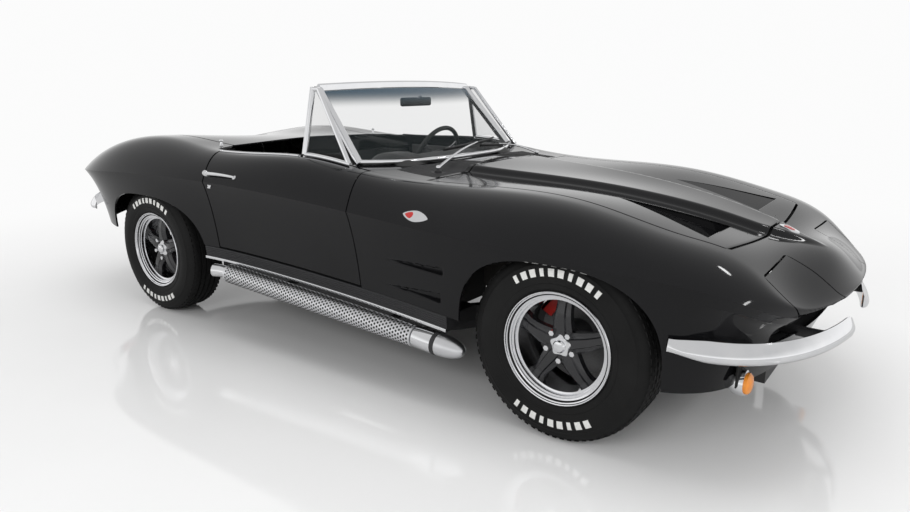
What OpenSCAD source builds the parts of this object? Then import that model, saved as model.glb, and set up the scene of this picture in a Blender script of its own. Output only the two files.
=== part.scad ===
// Two-seat open sports car of the 1960s: +X is forward, +Y is the car's left, +Z is up.
// The origin is on the ground, under the middle of the overall box.

/* [Overall] */
// Distance between the axles
wheelbase = 2489; // [2400:1:2560]
// Front bumper's face to the front axle
front_overhang = 835; // [800:5:870]
// Rear axle to the rear bumper's face
rear_overhang = 1126; // [1100:2:1150]
// Width over the wings
overall_w = 1768; // [1720:2:1820]
// Rise of the body's highest point above the axles
body_rise = 608; // [590:2:630]
// Rise of the windscreen's header above the body's highest point
screen_rise = 300; // [270:5:330]
// Set-back of the nose lip behind the front bumper's face
nose_setback = 20; // [10:1:40]
// Set-back of the tail lip ahead of the rear bumper's face
tail_setback = 15; // [10:1:40]

/* [Wheels] */
// Set-in of the tyre's outer wall behind the body's side
wheel_inset = 63; // [55:1:70]
// Outside diameter of the tyre
tyre_d = 694; // [680:2:700]
// Width of the tyre over its sidewalls
tyre_w = 222; // [190:2:226]
// Width of the tyre's tread
tread_w = 168; // [150:2:180]
// Diameter where the tyre sits on the rim
seat_d = 381; // [380:1:384]
// Height of the rim's flange above the tyre's seat
flange_h = 17.5; // [15:0.5:20]
// Width of the rim over its flanges
rim_w = 200; // [180:2:206]
// Thickness of the rim's barrel
rim_t = 9; // [7:0.5:12]
// Diameter of the wheel's hub
hub_d = 130; // [120:2:140]
// Diameter of the wheel spindle
spindle_d = 44; // [36:1:50]
// Reach of the spindle beyond the wheel's middle
spindle_reach = 40; // [35:1:45]
// Number of wheel spokes
spokes = 5; // [4:1:6]
// Width of a spoke at the hub
spoke_w = 74; // [60:2:80]
// Thickness of the caliper's bridge over the brake disc's edge
caliper_bridge = 13.5; // [12:0.5:15]
// Thickness of the brake disc
disc_t = 22; // [18:1:26]
// Set-in of the brake disc behind the wheel's middle
disc_inset = 106; // [102:1:110]
// Running gap round pins and spindles
running_gap = 0.3; // [0.2:0.05:0.5]
// Least gap between moving pieces and their neighbours
moving_gap = 6; // [5.5:0.5:8]

/* [Body] */
// Thickness of the moulded body panels
skin_t = 10; // [8:0.5:12]
// Width of the shut lines round doors and lids
shut_gap = 6; // [5.5:0.5:8]
// Thickness of a door, from the body's widest line to its inner face
door_t = 224; // [215:1:235]
// Gap at the hinged edges of hood and lid
lid_gap = 11; // [10.5:0.5:13]
// Thickness of hood and lid
lid_t = 8; // [7:0.5:9]
// Bow of the hood's front edge
hood_bow = 30; // [20:2:40]
// Length of the soft top's lid
lid_l = 600; // [560:10:640]
// Room round a tyre in its wheel arch
arch_room = 45; // [41:1:50]
// Height of the raised middle of the hood
bulge_h = 26; // [18:1:32]
// Half width of the raised middle at the hood's rear edge
bulge_half_w = 290; // [260:5:310]
// Half width of the raised middle at the hood's front edge
spear_half_w = 110; // [90:5:130]

/* [Places along the wheelbase, as shares behind the front axle] */
// Front end of the side exhausts' covers
pipe_front_share = 0.1928; // [0.18:0.0001:0.2]
// Front end of the sill rails
mid_front_share = 0.2491; // [0.24:0.0001:0.26]
// Hood's rear edge
hood_rear_share = 0.2893; // [0.28:0.0001:0.3]
// Firewall
firewall_share = 0.3053; // [0.3:0.0001:0.31]
// Wiper pivots
wiper_share = 0.3214; // [0.315:0.0001:0.325]
// Middle of the windscreen's foot
screen_foot_share = 0.3736; // [0.365:0.0001:0.38]
// Door's front shut line at the waist crease
door_front_share = 0.3777; // [0.37:0.0001:0.385]
// Front of the dashboard's top
dash_front_share = 0.4018; // [0.395:0.0001:0.41]
// Front end of the door's quarter light
vent_front_share = 0.4359; // [0.43:0.0001:0.44]
// Rear of the dashboard's top
dash_rear_share = 0.4781; // [0.47:0.0001:0.485]
// Middle of the windscreen's header
screen_head_share = 0.5263; // [0.52:0.0001:0.53]
// Rear post of the door's quarter light
vent_rear_share = 0.5504; // [0.545:0.0001:0.555]
// Middle of the steering wheel
steer_share = 0.5705; // [0.565:0.0001:0.575]
// Gear lever
lever_share = 0.5946; // [0.59:0.0001:0.6]
// Middle of the seat cushions
seat_share = 0.6589; // [0.655:0.0001:0.665]
// Rear end of the side exhausts' covers
pipe_rear_share = 0.7232; // [0.715:0.0001:0.73]
// Door's rear shut line at the waist crease
door_rear_share = 0.7634; // [0.755:0.0001:0.77]
// Rear edge of the cockpit
cockpit_share = 0.8477; // [0.845:0.0001:0.85]

/* [Screen] */
// Set-in of the windscreen's foot from the doors' inner faces
screen_inset = 45; // [40:1:50]
// Set-in of the header's ends from the foot's ends
screen_taper = 40; // [30:2:50]
// Set-back of the foot's ends behind its middle
screen_foot_bow = 170; // [150:5:190]
// Set-back of the header's ends behind its middle
screen_head_bow = 70; // [60:5:90]
// Fall of the header's ends below its middle
screen_head_fall = 15; // [10:1:20]
// Thickness of the glass
glass_t = 6; // [5:0.5:8]
// Width of the screen frame's section
screen_bar = 34; // [28:1:40]
// Width of the quarter lights' section
vent_bar = 18; // [14:1:20]
// Gap between the windscreen's post and the quarter light, and of its sill to the door's inner face
vent_offset = 20; // [16:1:24]

/* [Frame] */
// Width of a frame rail
rail_w = 70; // [60:2:80]
// Height of a frame rail
rail_h = 100; // [80:2:110]
// Height of the frame's underside
rail_z = 225; // [215:5:240]
// Set-in of the sill rails from the doors' inner faces
sill_inset = 60; // [56:1:66]
// Set-in of the rear rails from the wheels' middle
rear_rail_inset = 280; // [270:5:300]
// Rise of the rear rails over the axle
rear_rail_rise = 190; // [180:5:210]
// Diameter of a jacking pad
jack_pad_d = 80; // [70:2:90]
// Thickness of a jacking pad
jack_pad_t = 10; // [8:1:14]
// Thickness of the floor's moulding
floor_t = 15; // [12:1:18]
// Half width of the tunnel
tunnel_half_w = 140; // [130:2:150]
// Height of the tunnel above the floor
tunnel_h = 280; // [270:2:290]
// Diameter of hinge pins
pin_d = 16; // [12:1:20]
// Thickness of the brackets that tie the panels to the tub
bracket_t = 30; // [24:1:36]

/* [Cabin] */
// Length of a seat cushion
seat_l = 500; // [480:5:520]
// Thickness of a seat cushion
cushion_t = 190; // [170:5:200]
// Height of a seat's back
back_h = 430; // [400:5:450]
// Thickness of a seat's back
back_t = 110; // [95:5:120]
// Lean of a seat's back, in degrees
back_tilt = 18; // [14:1:22]
// Room beside a seat
seat_room = 22.5; // [18:0.5:30]
// Height of the dashboard
dash_h = 210; // [190:5:230]
// Fall of the dashboard's top below the cowl
dash_drop = 45; // [40:1:60]
// Rise of the two hoods on the dashboard
dash_hood_h = 55; // [40:5:65]
// Outside diameter of the steering wheel
steer_d = 400; // [380:5:410]
// Thickness of the steering wheel's rim
steer_rim_d = 26; // [22:1:30]
// Diameter of the steering column
column_d = 60; // [50:2:66]
// Lean of the steering column, in degrees
column_tilt = 20; // [16:1:24]
// Fall of the steering wheel's middle below the dashboard's top
steer_drop = 30; // [20:2:40]
// Length of the gear lever
lever_l = 140; // [120:5:160]
// Size of the cabin mirror: depth, width and height
mirror_size = [25, 240, 44];
// Reach of the mirror's arm behind the glass
mirror_reach = 95; // [80:5:110]
// Fall of the mirror's middle below the top of the windscreen
mirror_drop = 90; // [80:2:110]

/* [Bumpers and lamps] */
// Height of a bumper blade
bumper_h = 70; // [60:2:80]
// Thickness of a bumper blade
bumper_t = 30; // [24:1:36]
// Fall of the front bumper below the nose lip
bumper_drop = 123; // [115:1:130]
// Rise of the front bumper's rear ends
bumper_side_rise = 40; // [30:2:50]
// Fall of the rear bumper below the tail lip
rear_bumper_drop = 171; // [165:1:180]
// Diameter of a tail lamp
lamp_d = 92; // [84:2:98]
// Length of a tail lamp
lamp_l = 100; // [90:5:110]
// Set-in of a tail lamp's face ahead of the tail lip
lamp_inset = 50; // [45:1:55]
// Fall of the tail lamps below the tail lip
lamp_drop = 71; // [65:1:76]
// Diameter of a turn lamp
turn_d = 80; // [70:2:84]
// Length of a turn lamp
turn_l = 60; // [50:2:70]
// Rise of a turn lamp above the frame's underside
turn_rise = 85; // [80:1:90]
// Diameter of the headlamp pods
pod_d = 210; // [200:2:214]
// Diameter of a headlamp
headlamp_d = 132; // [120:2:138]
// Thickness of a grille bar
grille_bar = 10; // [8:1:12]
// Number of grille bars
grille_bars = 8; // [6:1:10]

/* [Running gear] */
// Diameter of the side exhaust's cover
pipe_d = 92; // [80:2:100]
// Length of the side exhaust's pointed front and of its tail pipe
pipe_tip_l = 110; // [100:2:120]
// Rise of the side exhaust above the frame's underside at its front and rear
pipe_rises = [33, 105];
// Set-in of the side exhaust behind the body's side
pipe_inset = 10; // [6:1:14]
// Set-in of the steering axis behind the brake disc
king_inset = 64; // [62:1:68]
// Thickness of a suspension arm
arm_t = 24; // [20:1:28]
// Rise of the upper front arm above the axle, and fall of the lower one
arm_spread = 105; // [100:1:110]
// Diameter of an arm's eye
eye_d = 80; // [74:2:90]
// Diameter of a ball pin
ball_d = 22; // [18:1:26]
// Diameter of the steering upright
knuckle_d = 70; // [64:2:76]
// Height of a brake caliper
caliper_h = 90; // [80:2:100]
// Depth of a brake caliper over the disc's edge
caliper_bite = 26; // [20:1:30]
// Gap between caliper and rim
caliper_gap = 14; // [12:1:16]
// Gap between engine and frame rails
engine_gap = 15; // [12:1:20]
// Fall of the engine's top below the hood
engine_drop = 105; // [95:5:120]
// Height of the engine's mounts
mount_h = 20; // [16:1:24]
// Thickness of the radiator
radiator_t = 60; // [50:2:70]
// Fall of the radiator's top below the hood
radiator_drop = 142; // [130:2:150]
// Diameter of the propeller shaft
shaft_d = 80; // [70:2:90]
// Fall of the propeller shaft below the axles
shaft_drop = 17; // [10:1:20]
// Size of the final drive: length, width and height
final_drive_size = [300, 260, 220];
// Diameter of a half shaft
half_shaft_d = 60; // [50:2:70]
// Thickness of a rear hub carrier
carrier_t = 40; // [36:1:44]
// Set-in of a rear hub carrier behind the brake disc
carrier_inset = 39; // [36:1:44]

/* [Hidden] */
$fn = 48;
half_w = overall_w / 2;
overall_l = front_overhang + wheelbase + rear_overhang;
front_axle_x = overall_l / 2 - front_overhang;
rear_axle_x = front_axle_x - wheelbase;
nose_x = overall_l / 2 - nose_setback;
tail_x = -overall_l / 2 + tail_setback;
axle_z = tyre_d / 2;
overall_h = axle_z + body_rise + screen_rise;
wheel_y = half_w - wheel_inset - tyre_w / 2;
rim_d = seat_d + 2 * flange_h;
arch_half_l = tyre_d / 2 + arch_room;
cabin_half_w = half_w - door_t;
screen_foot_half_w = cabin_half_w - screen_inset;
screen_head_half_w = screen_foot_half_w - screen_taper;
nose_power = 4;
nose_root = 2;
tail_power = 3.6;
tail_root = 2.2;
end_share = 0.9995;
flank_power = 2.4;
arch_power = 2.6;
arch_share = 0.937;
foot_share = 0.84;
hood_inset_share = 0.05;
overrun = rail_w;
probe = half_w / 1000;
function behind(share) = front_axle_x - wheelbase * share;
hood_rear_x = behind(hood_rear_share);
door_front_x = behind(door_front_share);
door_rear_x = behind(door_rear_share);
door_l = door_front_x - door_rear_x;
cockpit_x = behind(cockpit_share);
lid_rear_x = cockpit_x - lid_l;
// Places in the nose and the tail are shares of what is left beyond the wheel arches
function ahead(share) = mix(front_axle_x + arch_half_l, nose_x, share);
function aft(share) = mix(rear_axle_x - arch_half_l, tail_x, share);
joint_share_x = 0.184;
spear_tip_share = 0.704;
joint_x = ahead(joint_share_x);
spear_x = ahead(spear_tip_share);

// Body sections from tail to nose. Columns: place along the body, half width, waist height,
// crown place across, crown height, middle height, lower edge height, tuck of the lower edge.
// Places count 0 at the tail, 1 at the rear axle, 2 at the front axle and 3 at the nose. Widths are shares of half_w,
// the crown's place is one of the local width, and heights are shares of body_rise above the axles.
section_shares = [
    [0.000, 1.000, 0.583, 0.680, 0.591, 0.591, 0.121, 0.340],
    [0.270, 1.000, 0.635, 0.715, 0.761, 0.730, 0.055, 0.180],
    [0.584, 1.000, 0.674, 0.700, 0.934, 0.864, 0.022, 0.090],
    [0.990, 1.000, 0.709, 0.705, 1.000, 0.959, 0.022, 0.034],
    [1.157, 0.992, 0.717, 0.765, 0.940, 0.967, 0.046, 0.068],
    [1.316, 0.980, 0.703, 0.810, 0.930, 0.975, 0.030, 0.096],
    [1.478, 0.974, 0.674, 0.815, 0.934, 0.959, 0.005, 0.096],
    [1.618, 0.976, 0.641, 0.795, 0.864, 0.891, -0.020, 0.090],
    [1.799, 0.990, 0.596, 0.700, 0.827, 0.818, -0.044, 0.057],
    [1.999, 1.000, 0.558, 0.690, 0.792, 0.744, -0.077, 0.023],
    [2.431, 1.000, 0.523, 0.710, 0.666, 0.639, -0.086, 0.045],
    [2.735, 1.000, 0.420, 0.785, 0.503, 0.536, -0.094, 0.113],
    [2.892, 1.000, 0.313, 0.970, 0.346, 0.472, -0.094, 0.160],
    [3.000, 1.000, 0.331, 0.980, 0.335, 0.333, -0.094, 0.180]];

// Natural cubic splines through the columns of the section table
function column(c) = [for (row = section_shares) row[c]];
function bends(xs, ys) =
    let (n = len(xs),
         h = [for (i = [0 : n - 2]) xs[i + 1] - xs[i]],
         rhs = [for (i = [1 : n - 2]) 6 * ((ys[i + 1] - ys[i]) / h[i] - (ys[i] - ys[i - 1]) / h[i - 1])],
         down = [for (i = 1, b = 2 * (h[0] + h[1]), c = h[1] / b, d = rhs[0] / b; i <= n - 2;
                      i = i + 1,
                      b = i <= n - 2 ? 2 * (h[i - 1] + h[i]) - h[i - 1] * c : 1,
                      d = i <= n - 2 ? (rhs[i - 1] - h[i - 1] * d) / b : 0,
                      c = i <= n - 2 ? h[i] / b : 0) [c, d]],
         up = [for (i = n - 3, m = down[n - 3][1]; i >= 0;
                    i = i - 1, m = i >= 0 ? down[i][1] - down[i][0] * m : 0) m])
    concat([0], [for (i = [n - 3 : -1 : 0]) up[i]], [0]);
function place_x(p) =
    p < 1 ? mix(tail_x, rear_axle_x, p) : p < 2 ? mix(rear_axle_x, front_axle_x, p - 1) : mix(front_axle_x, nose_x, p - 2);
places = [for (p = column(0)) place_x(p)];
columns = [for (c = [0 : 7]) column(c)];
curls = [for (c = [0 : 7]) bends(places, columns[c])];
function span(x) = min(len(places) - 2, max(0, len([for (p = places) if (p <= x) p]) - 1));
function rail(c, x) =
    let (i = span(x),
         h = places[i + 1] - places[i],
         a = (places[i + 1] - x) / h,
         b = 1 - a,
         ys = columns[c],
         m = curls[c])
    a * ys[i] + b * ys[i + 1] + ((a * a * a - a) * m[i] + (b * b * b - b) * m[i + 1]) * h * h / 6;

// The body's outer surface: w is 0 on the middle line, 1 on the waist crease and 2 on the lower edge
function clamp(t) = max(0, min(1, t));
function smooth(t) = let (c = clamp(t)) c * c * (3 - 2 * c);
function mix(a, b, t) = a + (b - a) * t;
function closing(t, p, r) = pow(1 - pow(clamp(t), p), 1 / r);
function end_factor(x) =
    closing((x - front_axle_x) / (nose_x - front_axle_x), nose_power, nose_root)
    * closing((rear_axle_x - x) / (rear_axle_x - tail_x), tail_power, tail_root);
function waist_y(x) = half_w * rail(1, x) * end_factor(x);
function height(c, x) = axle_z + body_rise * rail(c, x);
function waist_z(x) = height(2, x);
function foot_z(x) = height(6, x);
function waist_slope(x) = (waist_y(x + probe) - waist_y(x - probe)) / (2 * probe);
function bulge_w(x) =
    x > joint_x ? spear_half_w * clamp((spear_x - x) / (spear_x - joint_x))
    : mix(bulge_half_w, spear_half_w, clamp((x - hood_rear_x) / (joint_x - hood_rear_x)));
function bulge(x, y) =
    bulge_h * smooth((bulge_w(x) - abs(y)) / (2 * bulge_h) + 0.5)
    * clamp((x - door_front_x) / (hood_rear_x - door_front_x))
    * clamp(1.5 * (spear_x - x) / (spear_x - joint_x));
function top_z(x, e) =
    let (c = rail(3, x), zb = waist_z(x), zc = height(4, x), zm = height(5, x))
    e < c ? mix(zm, zc, smooth(e / c)) : mix(zc, zb, pow(clamp((e - c) / (1 - c)), flank_power));
function inward(x) = let (d = waist_slope(x)) [d, -1, 0] / sqrt(1 + d * d);
function sided(p, w) = w < 0 ? [p[0], -p[1], p[2]] : p;
function tuck(x, s) = half_w * rail(7, x) * 2 * s / (1 + s);
function skin(x, w) =
    let (a = abs(w), y = waist_y(x), zb = waist_z(x))
    sided(a <= 1 ? [x, a * y, top_z(x, a) + (a < 1 ? bulge(x, a * y) : 0)]
        : [x, y, mix(zb, foot_z(x), a - 1)] + tuck(x, a - 1) * inward(x), w);
function depth(x, w) =
    let (a = abs(w), n = inward(x), f = a <= 1 ? pow(a, 3) : 1, d = a <= 1 ? 1 - 0.3 * f : 0.7 * clamp(1 - 3 * (a - 1)),
         v = f * n - [0, 0, d])
    sided(v / norm(v), w);
function share_of(x, y) = y / waist_y(x);
function on_skin(p, rise) = [p[0], p[1], skin(p[0], share_of(p[0], abs(p[1])))[2] + rise];
function skirt_share(x, z) = (waist_z(x) - z) / (waist_z(x) - foot_z(x));

// A closed slab between two grids of points
module slab(outer, inner) {
    n = len(outer);
    m = len(outer[0]);
    k = n * m;
    rim = concat([for (i = [0 : n - 2]) i * m], [for (j = [0 : m - 2]) (n - 1) * m + j],
        [for (i = [n - 1 : -1 : 1]) i * m + m - 1], [for (j = [m - 1 : -1 : 1]) j]);
    r = len(rim);
    polyhedron(
        concat([for (c = outer) each c], [for (c = inner) each c]),
        concat(
            [for (i = [0 : n - 2], j = [0 : m - 2]) each
                [[i * m + j, (i + 1) * m + j + 1, (i + 1) * m + j], [i * m + j, i * m + j + 1, (i + 1) * m + j + 1]]],
            [for (i = [0 : n - 2], j = [0 : m - 2]) each
                [[k + i * m + j, k + (i + 1) * m + j, k + (i + 1) * m + j + 1],
                 [k + i * m + j, k + (i + 1) * m + j + 1, k + i * m + j + 1]]],
            [for (i = [0 : r - 1]) each
                let (a = rim[i], b = rim[(i + 1) % r]) [[a, b, k + b], [a, k + b, k + a]]]));
}
module panel(cells, t = skin_t)
    slab([for (c = cells) [for (q = c) skin(q[0], q[1])]],
         [for (c = cells) [for (q = c) skin(q[0], q[1]) + t * depth(q[0], q[1])]]);
module block(a, b)
    translate([min(a[0], b[0]), min(a[1], b[1]), min(a[2], b[2])])
        cube([abs(b[0] - a[0]), abs(b[1] - a[1]), abs(b[2] - a[2])]);
module both() {
    children();
    mirror([0, 1, 0]) children();
}
module on_side(side)
    mirror([0, side < 0 ? 1 : 0, 0]) children();
module across(d, y0, y1)
    translate([0, y0, 0]) rotate([-90, 0, 0]) cylinder(d = d, h = y1 - y0);

// A bar of rectangular section swept along points, width across and height along up
function unit(v) = v / norm(v);
function tangent(ps, i) = unit(ps[min(len(ps) - 1, i + 1)] - ps[max(0, i - 1)]);
module sweep(ps, sizes, up = [0, 0, 1]) {
    n = len(ps);
    ring = [[-1, -1], [1, -1], [1, 1], [-1, 1]] / 2;
    points = [for (i = [0 : n - 1])
        let (t = tangent(ps, i), s = unit(cross(up, t)), u = cross(t, s), d = is_list(sizes[0]) ? sizes[i] : sizes)
        each [for (q = ring) ps[i] + q[0] * d[0] * s + q[1] * d[1] * u]];
    polyhedron(points, concat([[0, 1, 2, 3]], [[for (k = [3 : -1 : 0]) 4 * (n - 1) + k]],
        [for (i = [0 : n - 2], k = [0 : 3]) each
            let (a = 4 * i + k, b = 4 * i + (k + 1) % 4) [[a, a + 4, b + 4], [a, b + 4, b]]]));
}

// Rows from a top share over the crease to a lower share
function rows(top, foot, n, m) =
    concat([for (k = [0 : n - 1]) mix(top, 1, k / n)], [for (k = [0 : m]) mix(1, foot, k / m)]);
function evenly(a, b, n) = [for (k = [0 : n]) mix(a, b, k / n)];
arch_h = arch_share * (waist_z(front_axle_x) - axle_z);
function arch_z(x, axle) = axle_z + arch_h * pow(1 - pow(clamp(abs(x - axle) / arch_half_l), arch_power), 1 / arch_power);
function in_arch(x, axle) = abs(x - axle) <= arch_half_l;
arch_steps = 10;
function arch_columns(axle) = [for (k = [0 : arch_steps]) axle - arch_half_l * cos(180 * k / arch_steps)];
arch_run = 2 * skin_t;
// Lean of the door's shut lines above the crease, front and rear
front_lean_share = 0.055;
rear_lean_share = 0.085;
function lean(w, c, run) = run * clamp((1 - abs(w)) / (1 - c));
door_crown_share = 0.80;
function front_cut(w) = door_front_x - lean(w, door_crown_share, door_l * front_lean_share);
function rear_cut(w) = door_rear_x - lean(w, door_crown_share, door_l * rear_lean_share);
function hood_share(x) = rail(3, x) - hood_inset_share;
joint_share = hood_share(joint_x);
function hood_cut(w) = joint_x + hood_bow * (1 - pow(clamp(abs(w) / joint_share), 2));

// Nose panel, wings and quarters
seam_gap = running_gap * 4;
nose_lip_share = 0.12;
pod_in_share = 0.3054;
pod_out_share = 0.6448;
pod_rear_share = 0.492;
pod_axis_share = 0.728;
pod_in_y = half_w * pod_in_share;
pod_out_y = half_w * pod_out_share;
pod_rear_x = ahead(pod_rear_share);
pod_t = 4 * skin_t;
pod_drop = 4 * skin_t / 3;
nose_row_shares = [-1 - nose_lip_share, -1, -0.985, -0.9, -joint_share, -0.55, -0.4, -0.25, -0.12, 0,
    0.12, 0.25, 0.4, 0.55, joint_share, 0.9, 0.985, 1, 1 + nose_lip_share];
end_x = mix(front_axle_x, nose_x, end_share);
nose_steps = 9;
function nose_start(w) = abs(w) < joint_share ? hood_cut(w) + lid_gap : joint_x + seam_gap;
module pod_gap(grow)
    translate([pod_rear_x - grow, pod_in_y - grow, 0])
        cube([nose_x - pod_rear_x + overrun, pod_out_y - pod_in_y + 2 * grow, overall_h]);
leg_w = rail_w / 2;
disc_y = wheel_y - disc_inset;
king_y = disc_y - king_inset;
front_rail_share = 0.3959;
front_rail_y = half_w * front_rail_share;
rear_rail_y = wheel_y - rear_rail_inset;
leg_y = pod_in_y - leg_w / 2 - moving_gap;
hood_pin_drop = 1.1 * leg_w;
hood_axis = [pod_rear_x, 0, on_skin([pod_rear_x, leg_y], -hood_pin_drop)[2]];
pin_l = 2 * pin_d;
front_cross_x = hood_axis[0] - rail_w / 2;
frame_front_x = hood_axis[0];
// The valance under the bumper runs round the nose from wing to wing
valance_shares = [1.44, 1.58, 1.72, 1.86, 2];
valance_steps = 8;
valance_xs = [for (i = [0 : valance_steps]) mix(joint_x + seam_gap, end_x, 1 - pow(1 - i / valance_steps, 2))];
valance_path = concat([for (x = valance_xs) [x, 1]], [for (i = [valance_steps : -1 : 0]) [valance_xs[i], -1]]);
valance_z = rail_z + rail_h + skin_t / 2;
function nose_end_x(y) = mix(front_axle_x, nose_x, end_run(y, nose_power, nose_root));
function valance_inner_x(z) = nose_end_x(leg_y) - tuck(nose_x, skirt_share(nose_x, z)) - skin_t;
module valance() difference() {
    panel([for (q = valance_path) [for (w = valance_shares) [q[0], q[1] * w]]]);
    both() {
        translate(turn_lamp) rotate([0, 90, 0]) cylinder(d = turn_d + 2 * running_gap, h = 4 * turn_d, center = true);
        block([joint_x, front_rail_y - rail_w / 2 - running_gap, bumper_z - bumper_h / 4 - running_gap],
            [nose_x, front_rail_y + running_gap, bumper_z + bumper_h / 4 + running_gap]);
    }
}
module nose_panel() color("black") {
    difference() {
        panel([for (i = [0 : nose_steps]) let (u = 1 - pow(1 - i / nose_steps, 2))
            [for (w = nose_row_shares) [mix(nose_start(w), end_x, u), w]]]);
        both() pod_gap(shut_gap);
    }
    valance();
    both() {
        block([hood_axis[0], leg_y - leg_w / 2, valance_z], [valance_inner_x(valance_z) + skin_t / 2, leg_y + leg_w / 2, valance_z + skin_t]);
        block([hood_axis[0] - leg_w / 2, leg_y - leg_w / 2, rail_z + rail_h],
            [hood_axis[0] + leg_w / 2, leg_y + leg_w / 2, skin(hood_axis[0], share_of(hood_axis[0], leg_y))[2] - skin_t / 2]);
        translate([hood_axis[0], 0, hood_axis[2]]) across(pin_d, leg_y - leg_w / 2 - pin_l, leg_y - leg_w / 4);
        difference() {
            block([hood_axis[0], leg_y - leg_w / 2, pod_axis[2] - pin_l], [pod_axis[0] + pin_l, leg_y + leg_w / 2, pod_axis[2] + pin_l]);
            translate([pod_axis[0], 0, pod_axis[2]]) across(pin_d + 2 * running_gap, leg_y - leg_w, leg_y + leg_w);
        }
    }
}
fender_xs = concat(evenly(door_front_x + shut_gap / 2, front_axle_x - arch_half_l - arch_run, 5),
    arch_columns(front_axle_x), [front_axle_x + arch_half_l + arch_run, joint_x]);
function fender_foot(x) =
    in_arch(x, front_axle_x) ? min(x < front_axle_x ? foot_share : 1, skirt_share(x, arch_z(x, front_axle_x)))
    : x < front_axle_x ? foot_share : 1;
// Places for the brackets that tie the panels to the tub
sill_rail_y = cabin_half_w - sill_inset;
pillar_in_y = sill_rail_y;
pillar_out_y = cabin_half_w + 4 * skin_t;
bracket_share = 0.56;
function flank_z(x, share) = mix(foot_z(x), waist_z(x), share);
bracket_z = flank_z(door_front_x, bracket_share);
// Slots behind the front wheel. Columns: shares of the run from the arch to the door at the front edge and the tip,
// shares of the flank's height at the front edge's foot, its top and the tip
louvre_shares = [[0.15, 0.76, 0.27, 0.35, 0.30], [0.12, 0.74, 0.54, 0.61, 0.575]];
module louvre(q) {
    x0 = mix(front_axle_x - arch_half_l, door_front_x, q[0]);
    x1 = mix(front_axle_x - arch_half_l, door_front_x, q[1]);
    translate([0, half_w + overrun, 0]) rotate([90, 0, 0]) linear_extrude(3 * overrun)
        polygon([[x1, flank_z(x1, q[4])], [x0, flank_z(x0, q[2])], [x0, flank_z(x0, q[3])]]);
}
module fenders() color("black") both() {
    difference() {
        fender_skin();
        for (q = louvre_shares) louvre(q);
    }
    block([door_front_x + bracket_t, pillar_out_y, bracket_z],
        [door_front_x + 2 * bracket_t, waist_y(door_front_x) - 3 * skin_t, bracket_z + bracket_t]);
}
module fender_skin()
    panel([for (x = fender_xs) let (u = clamp((front_axle_x - arch_half_l - x) / (front_axle_x - arch_half_l - door_front_x)),
            e = x + u * (front_cut(0) - door_front_x), top = hood_share(e) + share_of(e, shut_gap))
        [for (w = rows(top, 1 + fender_foot(x), 7, 5)) [x + u * (front_cut(w) - door_front_x), w]]]);
hood_rows = [for (k = [-6 : 6]) k / 6];
hood_xs = evenly(0, 1, 9);
goose_drop = 2 * leg_w;
goose_l = 10 * pin_d;
module gooseneck(reach, rise, w)
    translate([0, -w / 2, 0]) {
        rotate([-90, 0, 0]) difference() {
            cylinder(d = 2 * pin_d, h = w);
            translate([0, 0, -w]) cylinder(d = pin_d + 2 * running_gap, h = 3 * w);
        }
        difference() {
            linear_extrude_across(w) polygon([[-pin_d / 2, -pin_d], [-reach, -goose_drop - pin_d], [-reach - pin_d, rise],
                [-reach + pin_d, rise], [-reach + pin_d, -goose_drop + pin_d], [-pin_d / 2, pin_d / 2]]);
            rotate([-90, 0, 0]) translate([0, 0, -w]) cylinder(d = pin_d + 2 * running_gap, h = 3 * w);
        }
    }
module linear_extrude_across(w)
    rotate([90, 0, 0]) translate([0, 0, -w]) linear_extrude(w) children();
arm_w = pin_d;
module hood() color("black") {
    panel([for (t = hood_xs)
        [for (k = hood_rows) let (w = k * joint_share, x = mix(hood_rear_x + shut_gap / 2, hood_cut(w), t))
            [x, k * hood_share(x)]]], lid_t);
    y = leg_y - leg_w / 2 - running_gap - arm_w / 2;
    x = hood_axis[0] - goose_l;
    both() translate([hood_axis[0], y, hood_axis[2]])
        gooseneck(goose_l, skin(x, share_of(x, y))[2] - lid_t / 2 - hood_axis[2], arm_w);
}
module cowl() color("black") {
    cowl_xs = evenly(door_front_x - screen_foot_bow, hood_rear_x - shut_gap / 2, 5);
    difference() {
        panel([for (x = cowl_xs) [for (k = hood_rows)
            [x, k * min(hood_share(x) + share_of(x, shut_gap - seam_gap), share_of(x, screen_foot_half_w + screen_bar))]]]);
        for (y = wiper_ys) translate([wiper_x, y, 0]) cylinder(d = 2 * pin_d + 2 * running_gap, h = overall_h);
    }
}
tail_joint_share = 0.691;
tail_joint_x = aft(tail_joint_share);
quarter_xs = concat(evenly(tail_joint_x + seam_gap, rear_axle_x - arch_half_l - arch_run, 5),
    arch_columns(rear_axle_x), evenly(rear_axle_x + arch_half_l + arch_run, door_rear_x - shut_gap / 2, 2));
function quarter_foot(x) =
    in_arch(x, rear_axle_x) ? min(x > rear_axle_x ? foot_share : 1, skirt_share(x, arch_z(x, rear_axle_x)))
    : x > rear_axle_x ? foot_share : 1;
deck_share = 0.60;
function deck_edge(x) = x > cockpit_x ? share_of(x, cabin_half_w) : deck_share + share_of(x, 2 * seam_gap);
module quarters() color("black") both() {
    panel([for (x = quarter_xs) let (u = clamp((x - rear_axle_x - arch_half_l) / (door_rear_x - rear_axle_x - arch_half_l)))
        [for (w = rows(deck_edge(x), 1 + quarter_foot(x), 7, 5)) [x + u * (rear_cut(w) - door_rear_x), w]]]);
    block([door_rear_x - 2 * bracket_t, pillar_out_y, bracket_z],
        [door_rear_x - bracket_t, waist_y(door_rear_x) - 3 * skin_t, bracket_z + bracket_t]);
}
tail_end_x = mix(rear_axle_x, tail_x, end_share);
tail_rows = concat([for (k = [4 : -1 : 1]) -1 - k / 4], [for (k = [-8 : 8]) k / 8], [for (k = [1 : 4]) 1 + k / 4]);
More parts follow.
